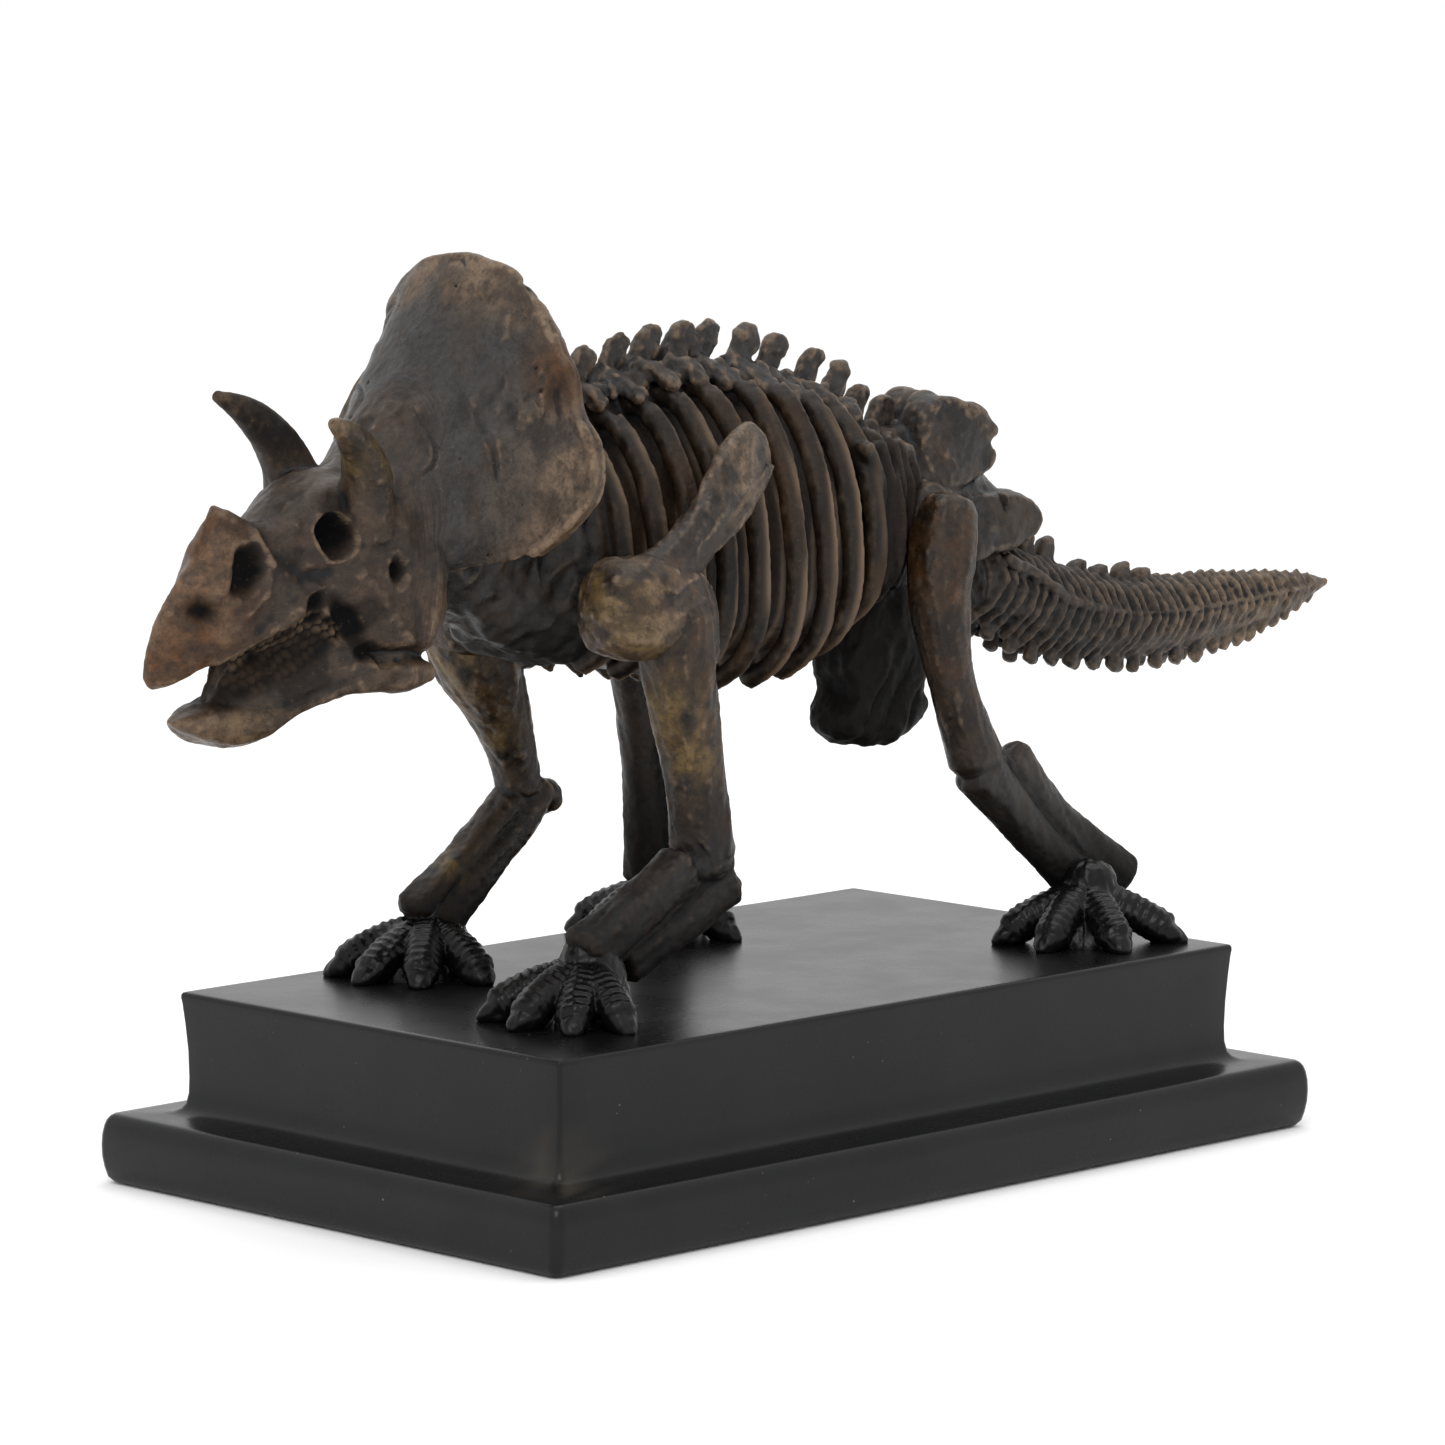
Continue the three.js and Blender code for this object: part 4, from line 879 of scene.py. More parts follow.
def torso_piece():
    parts = [bulk(CHEST_ROWS, inset=3.6), bulk(NECK_ROWS, 40, 40), bulk(LOIN_ROWS, 20, 32)]
    back = [[x, top - 9.5, top - 24, 5.4, 0.5, 0.1] for x, top in SPINE_TIPS]
    keel = []
    for x, _, foot, wide, _ in CHEST_ROWS[1:-2]:
        keel.append([x, foot + 10, foot + 1.4, 0.52 * wide, 0, 0.1])
    parts += [bulk(back, 90, 24), bulk(keel, 60, 32)]
    for x, top in SPINE_TIPS:
        parts += vertebra(x, top)
    for side in SIDES:
        parts += ribs(side)
        for strand in FLANK:
            parts.append(bone([[x, side * u, z, 2.4, 2] for x, u, z in strand]))
    skin = cast(parts, voxel=0.55)
    skin.relax(2)
    at = skin.at
    x, y, z = at.T
    neck = ramp(-x, 44, 50)
    arch = ramp(z - along(SPINE_TIPS, x)[:, 1], -18, -13)
    folds = grain(columns(x + 0.35 * z, y * 0.8, z * 0.3), 6, 3)
    sheets = np.abs(grain(columns(0.6 * x - 0.5 * z, y * 0.5, 0.3 * x), 7, 8))
    skin.push(neck * (1.6 * folds + 2.4 * (0.4 - sheets) + 0.5 * grain(at, 2.4, 5)))
    pleats = grain(columns(0.9 * x - 0.3 * z, y * 0.6, 0.5 * z + 0.2 * x), 3.4, 12)
    skin.push(neck * 1.3 * (0.3 - np.abs(pleats)))
    skin.push(arch * (0.55 * grain(at, 2.7, 2) + 0.4 * grain(at, 1.5, 8)))
    rods = (1 - neck) * (1 - arch)
    skin.push(rods * (0.22 * grain(at * [1, 1, 0.4], 2.2, 4) + 0.12 * grain(at, 1.3, 9)))
    strands = ramp(x, 36, 42) * (1 - arch)
    skin.push(strands * 0.55 * grain(at * [1, 1, 0.12], 1.6, 6))
    row = along(CHEST_ROWS, x)
    turn = np.arctan2(np.abs(y - MID), z - (row[:, 1] + row[:, 2]) / 2)
    sway = rib_lean((turn - RIB_START) / RIB_TURN)
    wrapped = columns(x - sway, 5 * turn, 0.3 * (y - MID))
    crest = np.abs(wrapped[:, :1] - 1.3 - RIB_XS).min(axis=1)
    crest = np.exp(-((crest / 0.9) ** 2)) * ramp(grain(wrapped, 2.6, 31), -0.6, 0.5)
    crest = crest * rods * (1 - strands)
    # The neck darkens towards its underside.
    soot = 0.7 * neck * (1 - ramp(z, 119, 133)) + 0.3 * strands + 0.38 * rods
    soot = soot + 0.15 * rods * ramp(z, 166, 172)
    skin.flow = at + (wrapped - at) * (rods > 0.5)[:, None]
    nodes = ["neck", "spine", "rib_cage_left", "rib_cage_right"]
    skin.piece(
        "torso", nodes, "bone_black", BONE, relief=2.2,
        chalk=0.6 * crest * ramp(turn, 0.3, 0.7),
        amber=0.34 * ramp(grain(at, 14, 5), -0.1, 0.5) * rods,
        ochre=0.15 * ramp(x, -10, 20) * ramp(grain(at, 9, 3), 0, 0.7) * rods * (1 - strands),
        # Grey on the neck is partly its grey-black paint and partly a painted sheen.
        slate=0.55 * arch + 0.75 * neck,
        soot=soot.clip(0, 1),
        dry=0.6 * rods * (1 - 0.5 * strands) + 0.7 * arch * (1 - neck) + 0.25 * neck,
    )


def limb(name, nodes, slot, runs, parts, voxel=0.45, cuts=(), rough=0.5, material=BONE, **paint):
    """A limb cast in one, with a streaked surface along its bones."""
    skin = cast(parts, voxel, cuts)
    skin.relax(2)
    streaks = skin.strands(runs)
    skin.flow = skin.strands(runs, stretch=0.55)
    skin.push(rough * (0.9 * grain(streaks, 3.6, 3) + 0.5 * grain(streaks, 1.5, 5)))
    skin.push(0.3 * rough * grain(skin.at, 1.3, 7))
    painted = {key: make(skin) for key, make in paint.items()}
    skin.piece(name, nodes, slot, material, **painted)


def patches(*spots, amount=1.0):
    """Blotches of paint round given places."""

    def paint(skin):
        marks = sum(spot(skin.at, place, size) for place, size in spots)
        return np.clip(amount * marks * ramp(grain(skin.at, 3.6, 4), -0.7, 0.5), 0, 1)

    return paint


def even(amount):
    return lambda skin: amount


def rising(amount, low, high):
    """Paint that comes in between two heights."""
    return lambda skin: amount * ramp(skin.at[:, 2], low, high)


def fading(amount, low, high):
    """Paint that goes out between two heights."""
    return lambda skin: amount * (1 - ramp(skin.at[:, 2], low, high))


def shoulder(side, joint, tip):
    """A blade with a rolled rear edge, and the rounded mass that carries the upper arm."""

    def run(f, u, lift, *sizes):
        x = joint[0] + (tip[0] - joint[0]) * f
        return [x, side * u, joint[2] + (tip[2] - joint[2]) * f + lift, *sizes]

    blade = [
        run(1, 24.5, -1, 7, 3),
        run(0.82, 27, 0.5, 8, 3.6),
        run(0.55, 29.5, -1, 6.2, 3.8),
        run(0.32, 31, -1, 6.4, 4.8),
        run(0.1, 32, 0, 8, 7),
    ]
    edge = [run(0.97, 26, -7, 1.9, 2), run(0.76, 29.5, -7, 2.1, 2.4), run(0.44, 32.6, -5, 1.8, 2)]
    mass = [
        [joint[0], side * 32, joint[2], 11, 10.6],
        [joint[0] + 9, side * 32.6, joint[2] + 1, 9, 8.6],
        [joint[0] + 15, side * 33, joint[2] - 1, 7.4, 7],
        [joint[0] + 16, side * 34, joint[2] - 12, 6.4, 6.4],
    ]
    parts = [bone(blade, face=ACROSS, square=0.12), bone(edge, face=ACROSS)]
    parts += [bone(mass, face=(0, 1, 0.2)), ball(*joint, 12, 10.2, 11.4, sides=36, square=0.26)]
    notch = [
        [joint[0] + 5, side * 41.6, joint[2] - 8.4, 1.6, 2.6],
        [joint[0] + 12, side * 41, joint[2] - 5, 2, 2.6],
    ]
    return [blade, edge, mass], parts, [bone(notch, face=ACROSS)]


def shoulder_piece(name, node, side, joint, tip, **paint):
    runs, parts, cuts = shoulder(side, joint, tip)
    paint = {**paint, "slate": rising(0.3, 138, 146), "dry": even(0.8)}
    limb(name, [node], "bone_brown", runs, parts, cuts=cuts, **paint)


def shoulder_pieces():
    clay = ((-8, -21.5, 165), 15), ((-18, -22, 156), 8), ((-54, -34, 131), 11)
    shoulder_piece(
        "shoulder_left", "scapula_left", -1, [-50, -32, 131], [-4, -24, 163.6],
        ochre=patches(((-60, -30, 134), (9, 10, 9)), ((-54, -34, 125), 7), amount=0.9),
        amber=patches(((-50, -34, 131), 14), amount=0.5),
        clay=patches(*clay, amount=0.8),
    )
    shoulder_piece(
        "shoulder_right", "scapula_right", 1, [-39, 31, 125], [6, 24, 164],
        ochre=patches(((-44, 48, 128), 8), amount=0.8),
        amber=patches(((-39, 44, 125), 13), amount=0.4),
        clay=patches(((4, 37, 164), 15), ((-7, 40, 155), 9), ((-42, 46, 126), 11), amount=1.1),
    )


FOOT_RADIUS = 23.5
FOLDS = 8


def foot(x, u, spread_of_toes):
    """An ankle mound with four blunt toes arching down from it, each ringed by close folds."""
    runs = []
    ankle = [[2, 2, 9.4], [1.5, 9, 8], [1.5, 15, 6]]
    ankle = [[x + back, u, BLOCK_TOP + rise, wide, wide] for back, rise, wide in ankle]
    mean = np.radians(spread_of_toes).mean()
    mound = [x + 5 * math.cos(mean), u + 5 * math.sin(mean), BLOCK_TOP - 1]
    parts = [ball(*mound, 11, 11, 8.4, sides=32), bone(ankle)]
    for turn in np.radians(spread_of_toes):

        def out(reach, rise, wide, deep):
            ahead = FOOT_RADIUS * reach * math.cos(turn)
            aside = FOOT_RADIUS * reach * math.sin(turn)
            return [x + ahead, u + aside, BLOCK_TOP + rise, wide, deep]

        toe = []
        for f in np.linspace(0, 1, 4 * FOLDS + 1):
            fold = 1 + 0.05 * math.cos(2 * math.pi * FOLDS * f)
            size = 4.6 * fold * (1.04 - 0.16 * f)
            toe.append(out(0.16 + 0.62 * f, 8.6 - 1.6 * f - 3.8 * f * f, size, size))
        claw = [out(0.74, 3, 3.6, 3.2), out(0.86, 1.9, 3.2, 2.8)]
        claw += [out(0.95, 1, 2.4, 2), out(1, 0.5, 1.5, 1.1)]
        parts.append(bone(toe, steps=16 * FOLDS, sides=20, face=(0, 0, 1)))
        parts.append(bone(claw, face=(0, 0, 1), square=0.15))
        runs.append(toe[::FOLDS])
    return runs, parts


def foot_piece(name, x, u, spread_of_toes):
    runs, parts = foot(x, u, spread_of_toes)
    paint = {"soot": even(0.95), "dry": even(0.06)}
    limb(name, [name], "bone_black", runs, parts, 0.4, rough=0.45, material=FOOT, **paint)


def pair(first, second, square):
    """Two blunt-ended bones side by side with a thin web of resin between them."""
    web = []
    for a, b in zip(first, second):
        web.append([(p + q) / (2 if k < 3 else 3.4) for k, (p, q) in enumerate(zip(a, b))])
    ends = dict(waist=0.1, cap=0.42, square=square, steps=36, sides=24)
    return [bone(first, **ends), bone(second, **ends), bone(web)]


def leg(name, nodes, runs, knobs=(), face=(1, 0, 0), square=0.14, blunt=0.3, **rest):
    """An upper bone over a pair of lower ones."""
    upper, *lower = runs
    parts = [bone(upper, face=face, square=square), *pair(*lower, blunt), *knobs]
    limb(name, nodes, "bone_brown", runs, parts, **rest)


# How the hind legs differ from the forelegs.
HIND = dict(square=0.1, blunt=0.18, rough=0.4)


def foreleg_pieces():
    upper = [
        [-40, -34, 128, 8.4, 8.6], [-38.4, -35, 112, 7.6, 8], [-34.8, -35, 95, 6.2, 7],
        [-31.6, -35, 75, 7, 7.4],
    ]
    radius = [[-40, -36, 73, 4.8, 5.2], [-54, -36, 65, 5.2, 5.6], [-68, -35.5, 57.4, 5.4, 5.8]]
    ulna = [[-26, -35.5, 68.6, 5.4, 5.8], [-41, -34.5, 59.6, 4.6, 5], [-54.5, -33.5, 53, 4.4, 4.6]]
    elbow_shade = (-32, -28, 86), (12, 14, 12)
    knobs = [ball(-32, -35.4, 73.5, 8, 6.6, 5)]
    leg(
        "foreleg_left", ["humerus_left", "forearm_left"], [upper, radius, ulna], knobs,
        ochre=patches(((-43.5, -30, 109), (8, 10, 7)), ((-39, -33, 97), (6, 10, 6)), amount=0.85),
        amber=patches(((-38, -30, 108), (12, 14, 22)), amount=0.5),
        clay=patches(((-40, -30, 104), (12, 14, 16)), amount=0.1),
        # The grey on the lower foreleg is a painted blue-grey sheen on its black.
        slate=fading(0.9, 72, 84),
        # Black below, and painted shade round the elbow.
        soot=lambda skin: fading(0.9, 40, 100)(skin) + 0.3 * spot(skin.at, *elbow_shade),
        dry=lambda skin: 0.3 + 0.3 * ramp(skin.at[:, 2], 70, 95),
    )
    foot_piece("forefoot_left", -67.4, -34.5, [146, 185, 220, 250])
    upper = [
        [-41, 33, 122, 9, 9.6], [-36.2, 33, 112.5, 9.4, 9.8], [-30, 33, 101, 6.6, 7.2],
        [-25.4, 33, 90, 5.2, 5.8], [-23.4, 33, 82, 5.4, 5.8],
    ]
    radius = [[-25, 33, 79, 5, 5.4], [-40.6, 33.5, 67, 5, 5.2], [-54, 34, 56.5, 5.2, 5.6]]
    ulna = [[-18, 32, 82, 4.2, 4.4], [-36.2, 31, 66, 4.6, 4.8], [-50, 31, 54.4, 4.8, 4.8]]
    ochre = ((-46, 41, 114), (6, 9, 9)), ((-34, 41, 99), (5, 8, 6)), ((-46, 41, 66), 4.6)
    knobs = [ball(-15, 33, 80, 4, 4, 4.4)]
    leg(
        "foreleg_right", ["humerus_right", "forearm_right"], [upper, radius, ulna], knobs,
        ochre=patches(*ochre, amount=1.4),
        amber=patches(((-36, 40, 108), (12, 14, 16)), amount=0.4),
        clay=patches(((-44, 41, 112), (9, 12, 12)), ((-33, 41, 98), 8), amount=0.3),
        soot=fading(0.9, 50, 74),
        dry=rising(1, 62, 95),
    )
    foot_piece("forefoot_right", -51.2, 33.2, [262, 222, 184, 147])


def hind_leg_pieces():
    femur = [
        [62.4, -20.6, 144, 6.6, 7], [59, -22, 134, 7.6, 8], [55.4, -24.6, 122, 6.6, 7],
        [56.6, -27, 106, 5.2, 5.8], [60, -29.6, 92, 5.8, 6.4], [61.6, -30.4, 87, 6, 6.8],
    ]
    tibia = [[62.6, -30.5, 84.4, 5.8, 6.2], [78.4, -31.5, 69, 5.2, 5.6], [93, -32.5, 56, 4.8, 5.2]]
    fibula = [[74.5, -29.5, 86, 4.8, 5], [88.8, -31, 70.2, 4.8, 5.2], [109.8, -32.5, 55.6, 5, 5.4]]
    leg(
        "hind_leg_left", ["femur_left", "shin_left"], [femur, tibia, fibula], **HIND,
        amber=patches(((57, -18, 128), (12, 14, 28)), amount=0.65),
        ochre=patches(((66, -16, 147), 5), ((62, -18, 118), 4), amount=0.8),
        chalk=patches(((68.5, -14, 146.5), (2.2, 4, 2.6)), amount=0.9),
        slate=fading(0.6, 84, 94),
        soot=fading(0.9, 50, 92),
        dry=rising(0.5, 84, 100),
    )
    foot_piece("hind_foot_left", 89.4, -39.6, [157, 197, 245, 302])
    femur = [
        [62, 21, 145, 5, 5.4], [52, 27, 133, 6.4, 6.8], [38, 32, 121, 5.8, 6],
        [21.5, 36.5, 112, 6.2, 6.6],
    ]
    tibia = [[17.4, 38, 109, 5.4, 5.8], [20.2, 38, 84, 4.6, 5], [21.8, 38, 57, 5, 5.4]]
    fibula = [[24.4, 36, 109, 4.6, 4.8], [27, 35.6, 82, 4.2, 4.4], [28, 36, 57, 4.2, 4.4]]
    leg(
        "hind_leg_right", ["femur_right", "shin_right"], [femur, tibia, fibula], **HIND,
        face=(1, 0, 1),
        amber=patches(((45, 46, 128), (18, 14, 18)), amount=0.55),
        soot=fading(0.9, 54, 104),
        dry=rising(1, 90, 110),
    )
    foot_piece("hind_foot_right", 28.6, 38.4, [140, 172, 222, 271])


# Outlines of the pelvis's flat lobes, x and z.
ILIUM = [
    [66, 165.4], [69.4, 169], [74, 169.6], [80, 168], [87.4, 165], [91, 161.4], [91, 159.2],
    [88.6, 157.4], [91.8, 155], [91.6, 151.8], [87, 149.6], [78, 147], [66, 149], [63.4, 158],
]
SEAT = [
    [78, 144.8], [86.4, 146.2], [93, 145.6], [99, 145], [105, 142.4], [107.8, 138.4],
    [105.4, 134.6], [99, 132.2], [91, 131.6], [81, 131.4],
]
BOOT = [
    [62, 126], [66.6, 110], [65.8, 101], [67.4, 96.6], [63, 91.4], [52, 89.2], [42, 90.4],
    [37.8, 95], [41, 102.6], [40, 108], [42, 118], [52, 128],
]
BOOT_OFFSET = -4


def pelvis_piece():
    core = [
        [54, 164, 138, 9, 0.3], [62, 163, 133, 12.5, 0.3], [74, 164, 130, 11, 0.3],
        [86, 159, 129, 9, 0.3], [94, 150, 129, 8, 0.3], [100, 144, 130, 7, 0.3],
        [106, 141, 132, 4.4, 0.3],
    ]
    parts = [bulk(core, 40, 36)]
    parts += [slab(ILIUM, u, 5.2, 0.22) for u in (-5.5, 3.5)]
    parts += [slab(SEAT, u, 4.8, 0.22) for u in (-6.2, 1.5)]
    parts.append(slab(BOOT, BOOT_OFFSET, 8.4, 0.4))
    cuts = []
    for side in SIDES:
        parts.append(ball(62, side * 13.5, 143, 7.5, 7, 8, sides=28))
        notches = [
            [[80, side * 10, 170.6, 0.8, 2.6], [80.6, side * 10, 165, 0.6, 1.8]],
            [[92, side * 10.6, 146.6, 0.8, 2.6], [93, side * 10.6, 141.4, 0.7, 2]],
            [[66, side * 13, 150.6, 1, 2], [76, side * 12.4, 148.4, 1.1, 2]],
        ]
        face = side * 8.4 + BOOT_OFFSET
        for dx in (0, 7, 14):
            notches.append([[44 + dx, face, 94, 0.7, 1.1], [53 + 0.9 * dx, face, 110, 0.5, 0.9]])
        cuts += [bone(notch, face=ACROSS) for notch in notches]
    skin = cast(parts, voxel=0.5, cuts=cuts)
    skin.relax(2)
    at = skin.at
    x, y, z = at.T
    shaft = 1 - ramp(z, 120, 132)
    skin.push(1.1 * grain(at, 8, 3) + 0.4 * grain(at, 3.4, 5) + 0.2 * grain(at, 1.3, 8))
    skin.push(shaft * 0.6 * grain(columns(x - 0.5 * z, y, 0.25 * z), 3.2, 2))
    plate = ramp(z, 146, 152)
    seat = ramp(x, 78, 88) * (1 - plate)
    skin.piece(
        "pelvis", ["pelvis"], "bone_black", BONE,
        amber=0.4 * plate * ramp(grain(at, 6, 3), 0.0, 0.6),
        ochre=0.15 * spot(at, (100, -3, 140), 7) + 0.15 * plate * ramp(grain(at, 8, 7), 0.2, 0.7),
        slate=0.55 * plate + 0.4 * seat,
        soot=(0.65 * shaft + 0.15).clip(0, 1),
        dry=0.8 * plate + 0.5 * seat,
    )


# x, top, foot, half-width of the tail without its spines.
TAIL_ROWS = [
    [90, 134, 115.8, 9], [104, 131, 109.8, 9.4], [118, 127, 104.4, 9.2], [132, 123, 102, 8.8],
    [146, 120.4, 101, 8.2], [160, 119.4, 101, 7.4], [174, 119.2, 101.6, 6.4],
    [188, 118.8, 103, 5.3], [202, 118, 105.6, 4], [214, 116.8, 109.2, 2.6],
    [223.5, 114.6, 113, 0.7],
]
# Tips of the tail's spines above and of its tabs below, x and z.
TAIL_SPINES = [
    [104, 136], [111.5, 133.4], [118.6, 132.4], [130, 126.4], [138, 124.4], [146.2, 124.4],
    [153.4, 122.6],
]
TAIL_TABS = [
    [95.1, 109.6], [102.8, 105.6], [109.6, 102.6], [117, 101.8], [124.3, 100.6], [132, 99.4],
    [139.8, 98.4], [147.3, 97.1], [155.6, 97.6], [163.2, 97.9], [170.6, 98.1],
]


def tail_at(x):
    """Top, foot and half-width of the tail."""
    return along(TAIL_ROWS, x)[0, 1:]


def tail_core():
    rings = []
    angle = 2 * np.pi * np.arange(40) / 40
    c, s = np.cos(angle), np.sin(angle)
    for x, top, foot, wide in along(TAIL_ROWS, np.linspace(88, 223.4, 120)):
        middle = top + (foot - top) * 0.52
        half = np.where(c > 0, top - middle, middle - foot)
        u = 0.9 * wide * np.sign(s) * np.abs(s) ** 1.15
        rings.append(columns(np.full(len(angle), x), MID + u, middle + half * c))
    return loft(np.array(rings))


def slats(x, side, bold):
    """One pair of slats on the tail's side, swept forward above and below its middle line."""
    top, foot, wide = tail_at(x)
    size = bold * (0.3 + 0.7 * min(1, (224 - x) / 90))
    middle = top + (foot - top) * 0.42
    wide = wide * 0.93
    rise = top - middle
    fall = middle - foot
    upper = [
        [x + 1, side * wide * 0.98, middle, 1.1 * size, 1.05 * size],
        [x - 0.6 * size, side * wide * 0.74, middle + 0.6 * rise, 1.1 * size, 1.1 * size],
        [x - 1.6 * size, side * wide * 0.2, middle + 0.97 * rise, 1.1 * size, 1.1 * size],
    ]
    lower = [
        [x + 1.2, side * wide * 0.99, middle - 0.6, 1.2 * size, 1.1 * size],
        [x - 1.6 * size, side * wide * 0.84, middle - 0.48 * fall, 1.25 * size, 1.15 * size],
        [x - 5.4 * size, side * wide * 0.36, middle - 0.92 * fall, 1.2 * size, 1.2 * size],
    ]
    return [bone(upper, 12, 10), bone(lower, 14, 10)]


def tail_piece():
    parts = [tail_core()]
    for x, top in TAIL_SPINES:
        root = tail_at(x)[0]
        tall = top - root
        fin = [[-5, -3.5], [-3.6, 0.2], [-2.2, tall - 0.6], [-0.2, tall]]
        fin += [[2, tall - 0.2], [2.2, 0.2], [2.6, -3.5]]
        parts.append(slab([[x + dx, root + dz] for dx, dz in fin], 0, 1.7, 0.3))
    for x in np.arange(158.5, 219, 4.1):
        top = tail_at(x)[0]
        size = 0.45 + 0.75 * (219 - x) / 62
        nib = [
            [x - 2 * size, 0, top - 0.6, 1.2 * size, 1.4 * size],
            [x + 0.8 * size, 0, top + 0.5 * size, 0.9 * size, 0.8 * size],
        ]
        parts.append(bone(nib, 8, 12))
    tabs = list(TAIL_TABS)
    for x in np.arange(177, 218, 4.8):
        tabs.append([x, tail_at(x)[1] - 2.2 * (1 - (x - 174) / 50)])
    for x, low in tabs:
        _, foot, wide = tail_at(x)
        size = min(1, 0.42 + (222 - x) / 62)
        for side in SIDES:
            tab = [
                [x + 1.6, side * wide * 0.3, foot + 3, 1.7 * size, 2.2 * size],
                [x + 0.4, side * wide * 0.34, (foot + low) / 2 + 1, 1.6 * size, 2.1 * size],
                [x - 0.4, side * wide * 0.34, low + 1.3 * size, 1.5 * size, 2.3 * size],
            ]
            parts.append(bone(tab, 10, 14))
    for side in SIDES:
        for x in np.arange(94, 220, 3.5):
            parts += slats(x + rng.uniform(-0.5, 0.5), side, rng.uniform(0.85, 1.15))
        line = []
        for x in np.linspace(96, 216, 12):
            top, foot, wide = tail_at(x)
            thick = 0.5 + 1.1 * ramp(150 - x, 0, 40)
            z = top + (foot - top) * (0.4 - 0.22 * ramp(118 - x, 0, 20))
            line.append([x, side * wide * 0.9, z, thick, thick])
        parts.append(bone(line, 60, 12))
    skin = cast(parts, voxel=0.42)
    skin.relax(1)
    at = skin.at
    skin.push(0.4 * grain(at, 2.6, 3) + 0.2 * grain(at, 1.2, 6))
    fade = ramp(at[:, 0], 120, 200)
    skin.piece(
        "tail", ["tail_base", "tail_middle", "tail_tip"], "bone_black", BONE,
        ochre=0.2 * fade * ramp(grain(at, 5, 3), -0.5, 0.5),
        clay=0.12 + 0.36 * fade,
        slate=0.75,
        soot=0.38 * (1 - fade),
        dry=0.5 + 0.4 * fade,
    )


# The plinth's lower step and the block on it, half-lengths and half-widths.
STEP_X, STEP_Y = 120.0, 73.0
BLOCK_X, BLOCK_Y = 107.3, 60.6
# z, what is added to the step's half-length and half-width there, radius of its corners.
STEP_ROWS = [
    [0, -9, -9, 1], [0, -1, -1.4, 1.6], [0.3, -0.4, -0.8, 2], [1.4, 0.6, 0.3, 2.4],
    [3.6, 1.1, 1, 2.6], [6, 1.4, 1.4, 2.6], [8.6, 1.5, 1.5, 2.6], [11, 1.4, 1.4, 2.6],
    [13, 1.05, 1.05, 2.5], [14.3, 0.6, 0.6, 2.4], [15.1, 0, 0, 2.2], [15.5, -0.6, -0.6, 2.1],
    [15.6, -1.4, -1.4, 2], [15.7, -3, -3, 2.4],
]
# The cove and the block above it: z from the block's top, what is added to both half-sizes, radius.
BLOCK_ROWS = [
    [-27.15, 4.9, 3.4], [-26.9, 2.9, 3.2], [-26.2, 1.5, 2.8], [-25.1, 0.5, 2.1],
    [-22.8, -0.2, 1.3], [-19.3, -0.35, 1.1], [-13.3, -0.2, 1], [-7.3, 0.2, 1], [-2.6, 0.6, 1],
    [-1.2, 0.8, 1], [-0.55, 0.72, 0.95], [-0.15, 0.45, 0.85], [0, 0, 0.8], [0, -1.2, 0.7],
    [0, -8, 0.5],
]
CORNER_CUTS = 8
SIDE_CUTS = 28


def rounded(z, a, b, r):
    """A ring of points round a rectangle with round corners, its sides cut into short lengths."""
    arcs = []
    for q, (sx, sy) in enumerate([(1, 1), (-1, 1), (-1, -1), (1, -1)]):
        angle = (q + np.arange(CORNER_CUTS + 1) / CORNER_CUTS) * math.pi / 2
        arcs.append(columns(sx * (a - r) + r * np.cos(angle), sy * (b - r) + r * np.sin(angle)))
    cut = np.arange(1, SIDE_CUTS)[:, None]
    ring = []
    for arc, following in zip(arcs, arcs[1:] + arcs[:1]):
        ring += [arc, arc[-1] + (following[0] - arc[-1]) * cut / SIDE_CUTS]
    ring = np.vstack(ring)
    return columns(ring, np.full(len(ring), z))


def base_piece():
    """Two soft-edged steps with a cove between them."""
    rings = [rounded(z, STEP_X + dx, STEP_Y + dy, r) for z, dx, dy, r in STEP_ROWS]
    for dz, more, r in BLOCK_ROWS:
        rings.append(rounded(BLOCK_TOP + dz, BLOCK_X + more, BLOCK_Y + more, r))
    corners, faces = loft(np.array(rings))
    wave = 0.22 * grain(corners, 34, 2) + 0.08 * grain(corners, 9, 5)
    lift = wave * ramp(corners[:, 2], 0.5, 2)
    corners = corners + lift[:, None] * np.sign(corners) * [0.8, 0.8, 0]
    made = mesh_object("base", corners * MM, faces)
    made.data.polygons.foreach_set("use_smooth", np.ones(len(faces), bool))
    made.data.set_sharp_from_angle(angle=math.radians(38))
    smudge = 0.8 * spot(corners, (-107, -60, 17), 9) * ramp(grain(corners, 3, 4), -0.6, 0.6)
    store = made.data.attributes.new("smudge", "FLOAT", "POINT")
    store.data.foreach_set("value", smudge.astype(np.float32))
    made.data.materials.append(PLINTH)
    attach(made, "root")
    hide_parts("base")


head_piece()
torso_piece()
shoulder_pieces()
foreleg_pieces()
hind_leg_pieces()
pelvis_piece()
tail_piece()
base_piece()


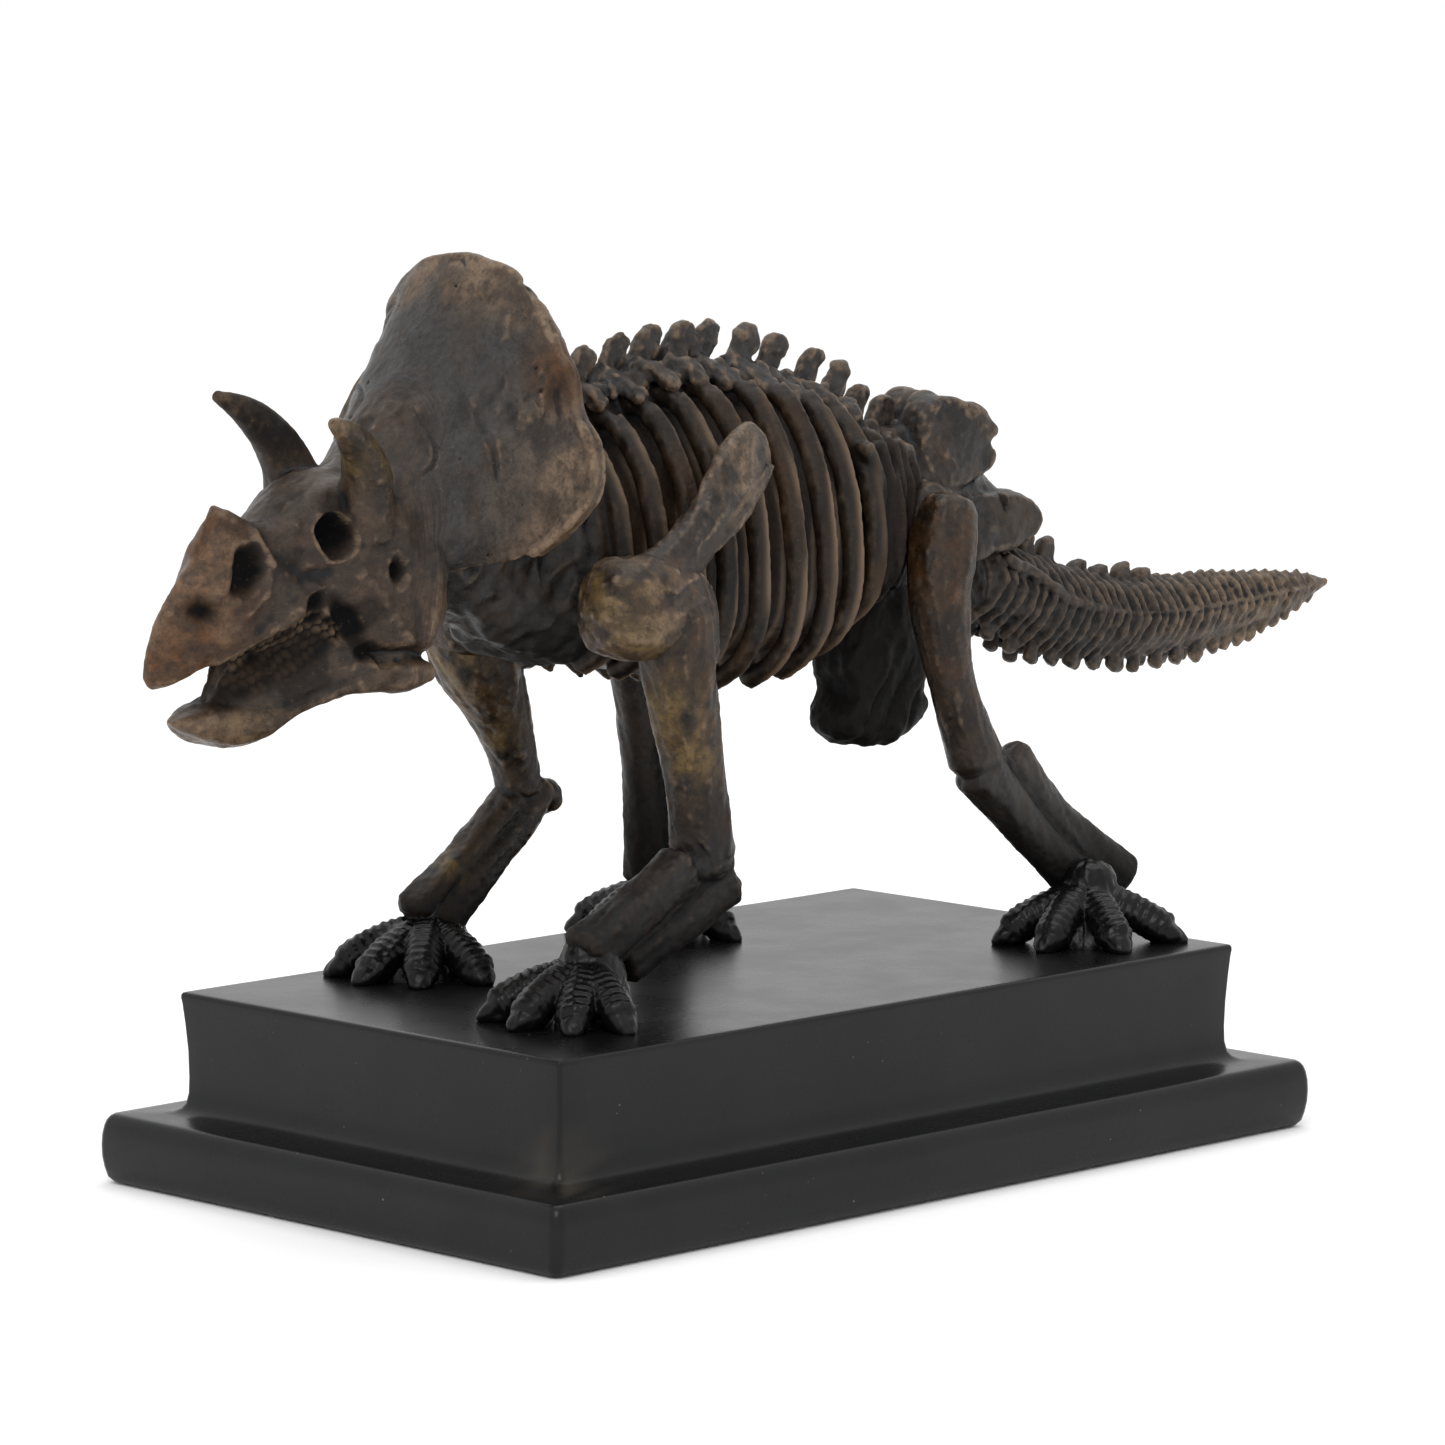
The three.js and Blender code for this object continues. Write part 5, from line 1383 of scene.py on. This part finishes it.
# Floor, light and camera, in metres. The floor lies a hair below the base.
FLOOR_HALF = 15.0
FLOOR_Z = -0.0002
FLOOR_CORNERS = [(-1, -1), (1, -1), (1, 1), (-1, 1)]
LIT = (0, 0, 0.1)
CAMERA_PLACE = (-1.0263, -1.0293, 0.2852)
CAMERA_AROUND, CAMERA_ABOVE = math.radians(-44.955), math.radians(7.297)


def floor():
    ground = [[x * FLOOR_HALF, y * FLOOR_HALF, FLOOR_Z] for x, y in FLOOR_CORNERS]
    made = mesh_object("floor", ground, np.array([[0, 1, 2, 3]]))
    material = bpy.data.materials.new("floor_white")
    material.use_nodes = True
    shader = material.node_tree.nodes["Principled BSDF"]
    shader.inputs["Base Color"].default_value = (0.96, 0.96, 0.96, 1)
    shader.inputs["Roughness"].default_value = 0.9
    made.data.materials.append(material)


def aimed(made, place, way):
    made.location = place
    made.rotation_mode = "QUATERNION"
    made.rotation_quaternion = Vector(way).to_track_quat("-Z", "Y")
    bpy.context.scene.collection.objects.link(made)


def soft_light(name, place, size, power):
    data = bpy.data.lights.new(name, "AREA")
    data.shape = "SQUARE"
    data.size = size
    data.energy = power
    aimed(bpy.data.objects.new(name, data), place, Vector(LIT) - Vector(place))


def studio():
    world = bpy.data.worlds.new("studio")
    world.use_nodes = True
    sky = world.node_tree.nodes["Background"]
    sky.inputs["Color"].default_value = (1, 1, 1, 1)
    sky.inputs["Strength"].default_value = 1.05
    bpy.context.scene.world = world
    soft_light("key", (-1.3, -0.9, 1.7), 0.9, 12)
    soft_light("top", (0.4, 0.3, 1.9), 1.2, 7)
    bpy.context.scene.view_settings.view_transform = "Standard"


def camera():
    data = bpy.data.cameras.new("camera")
    data.lens = 161.32
    data.sensor_width = 36
    data.clip_end = 100
    made = bpy.data.objects.new("camera", data)
    level = math.cos(CAMERA_ABOVE)
    x, y = -math.sin(CAMERA_AROUND) * level, math.cos(CAMERA_AROUND) * level
    aimed(made, CAMERA_PLACE, (x, y, -math.sin(CAMERA_ABOVE)))
    bpy.context.scene.camera = made


floor()
studio()
camera()
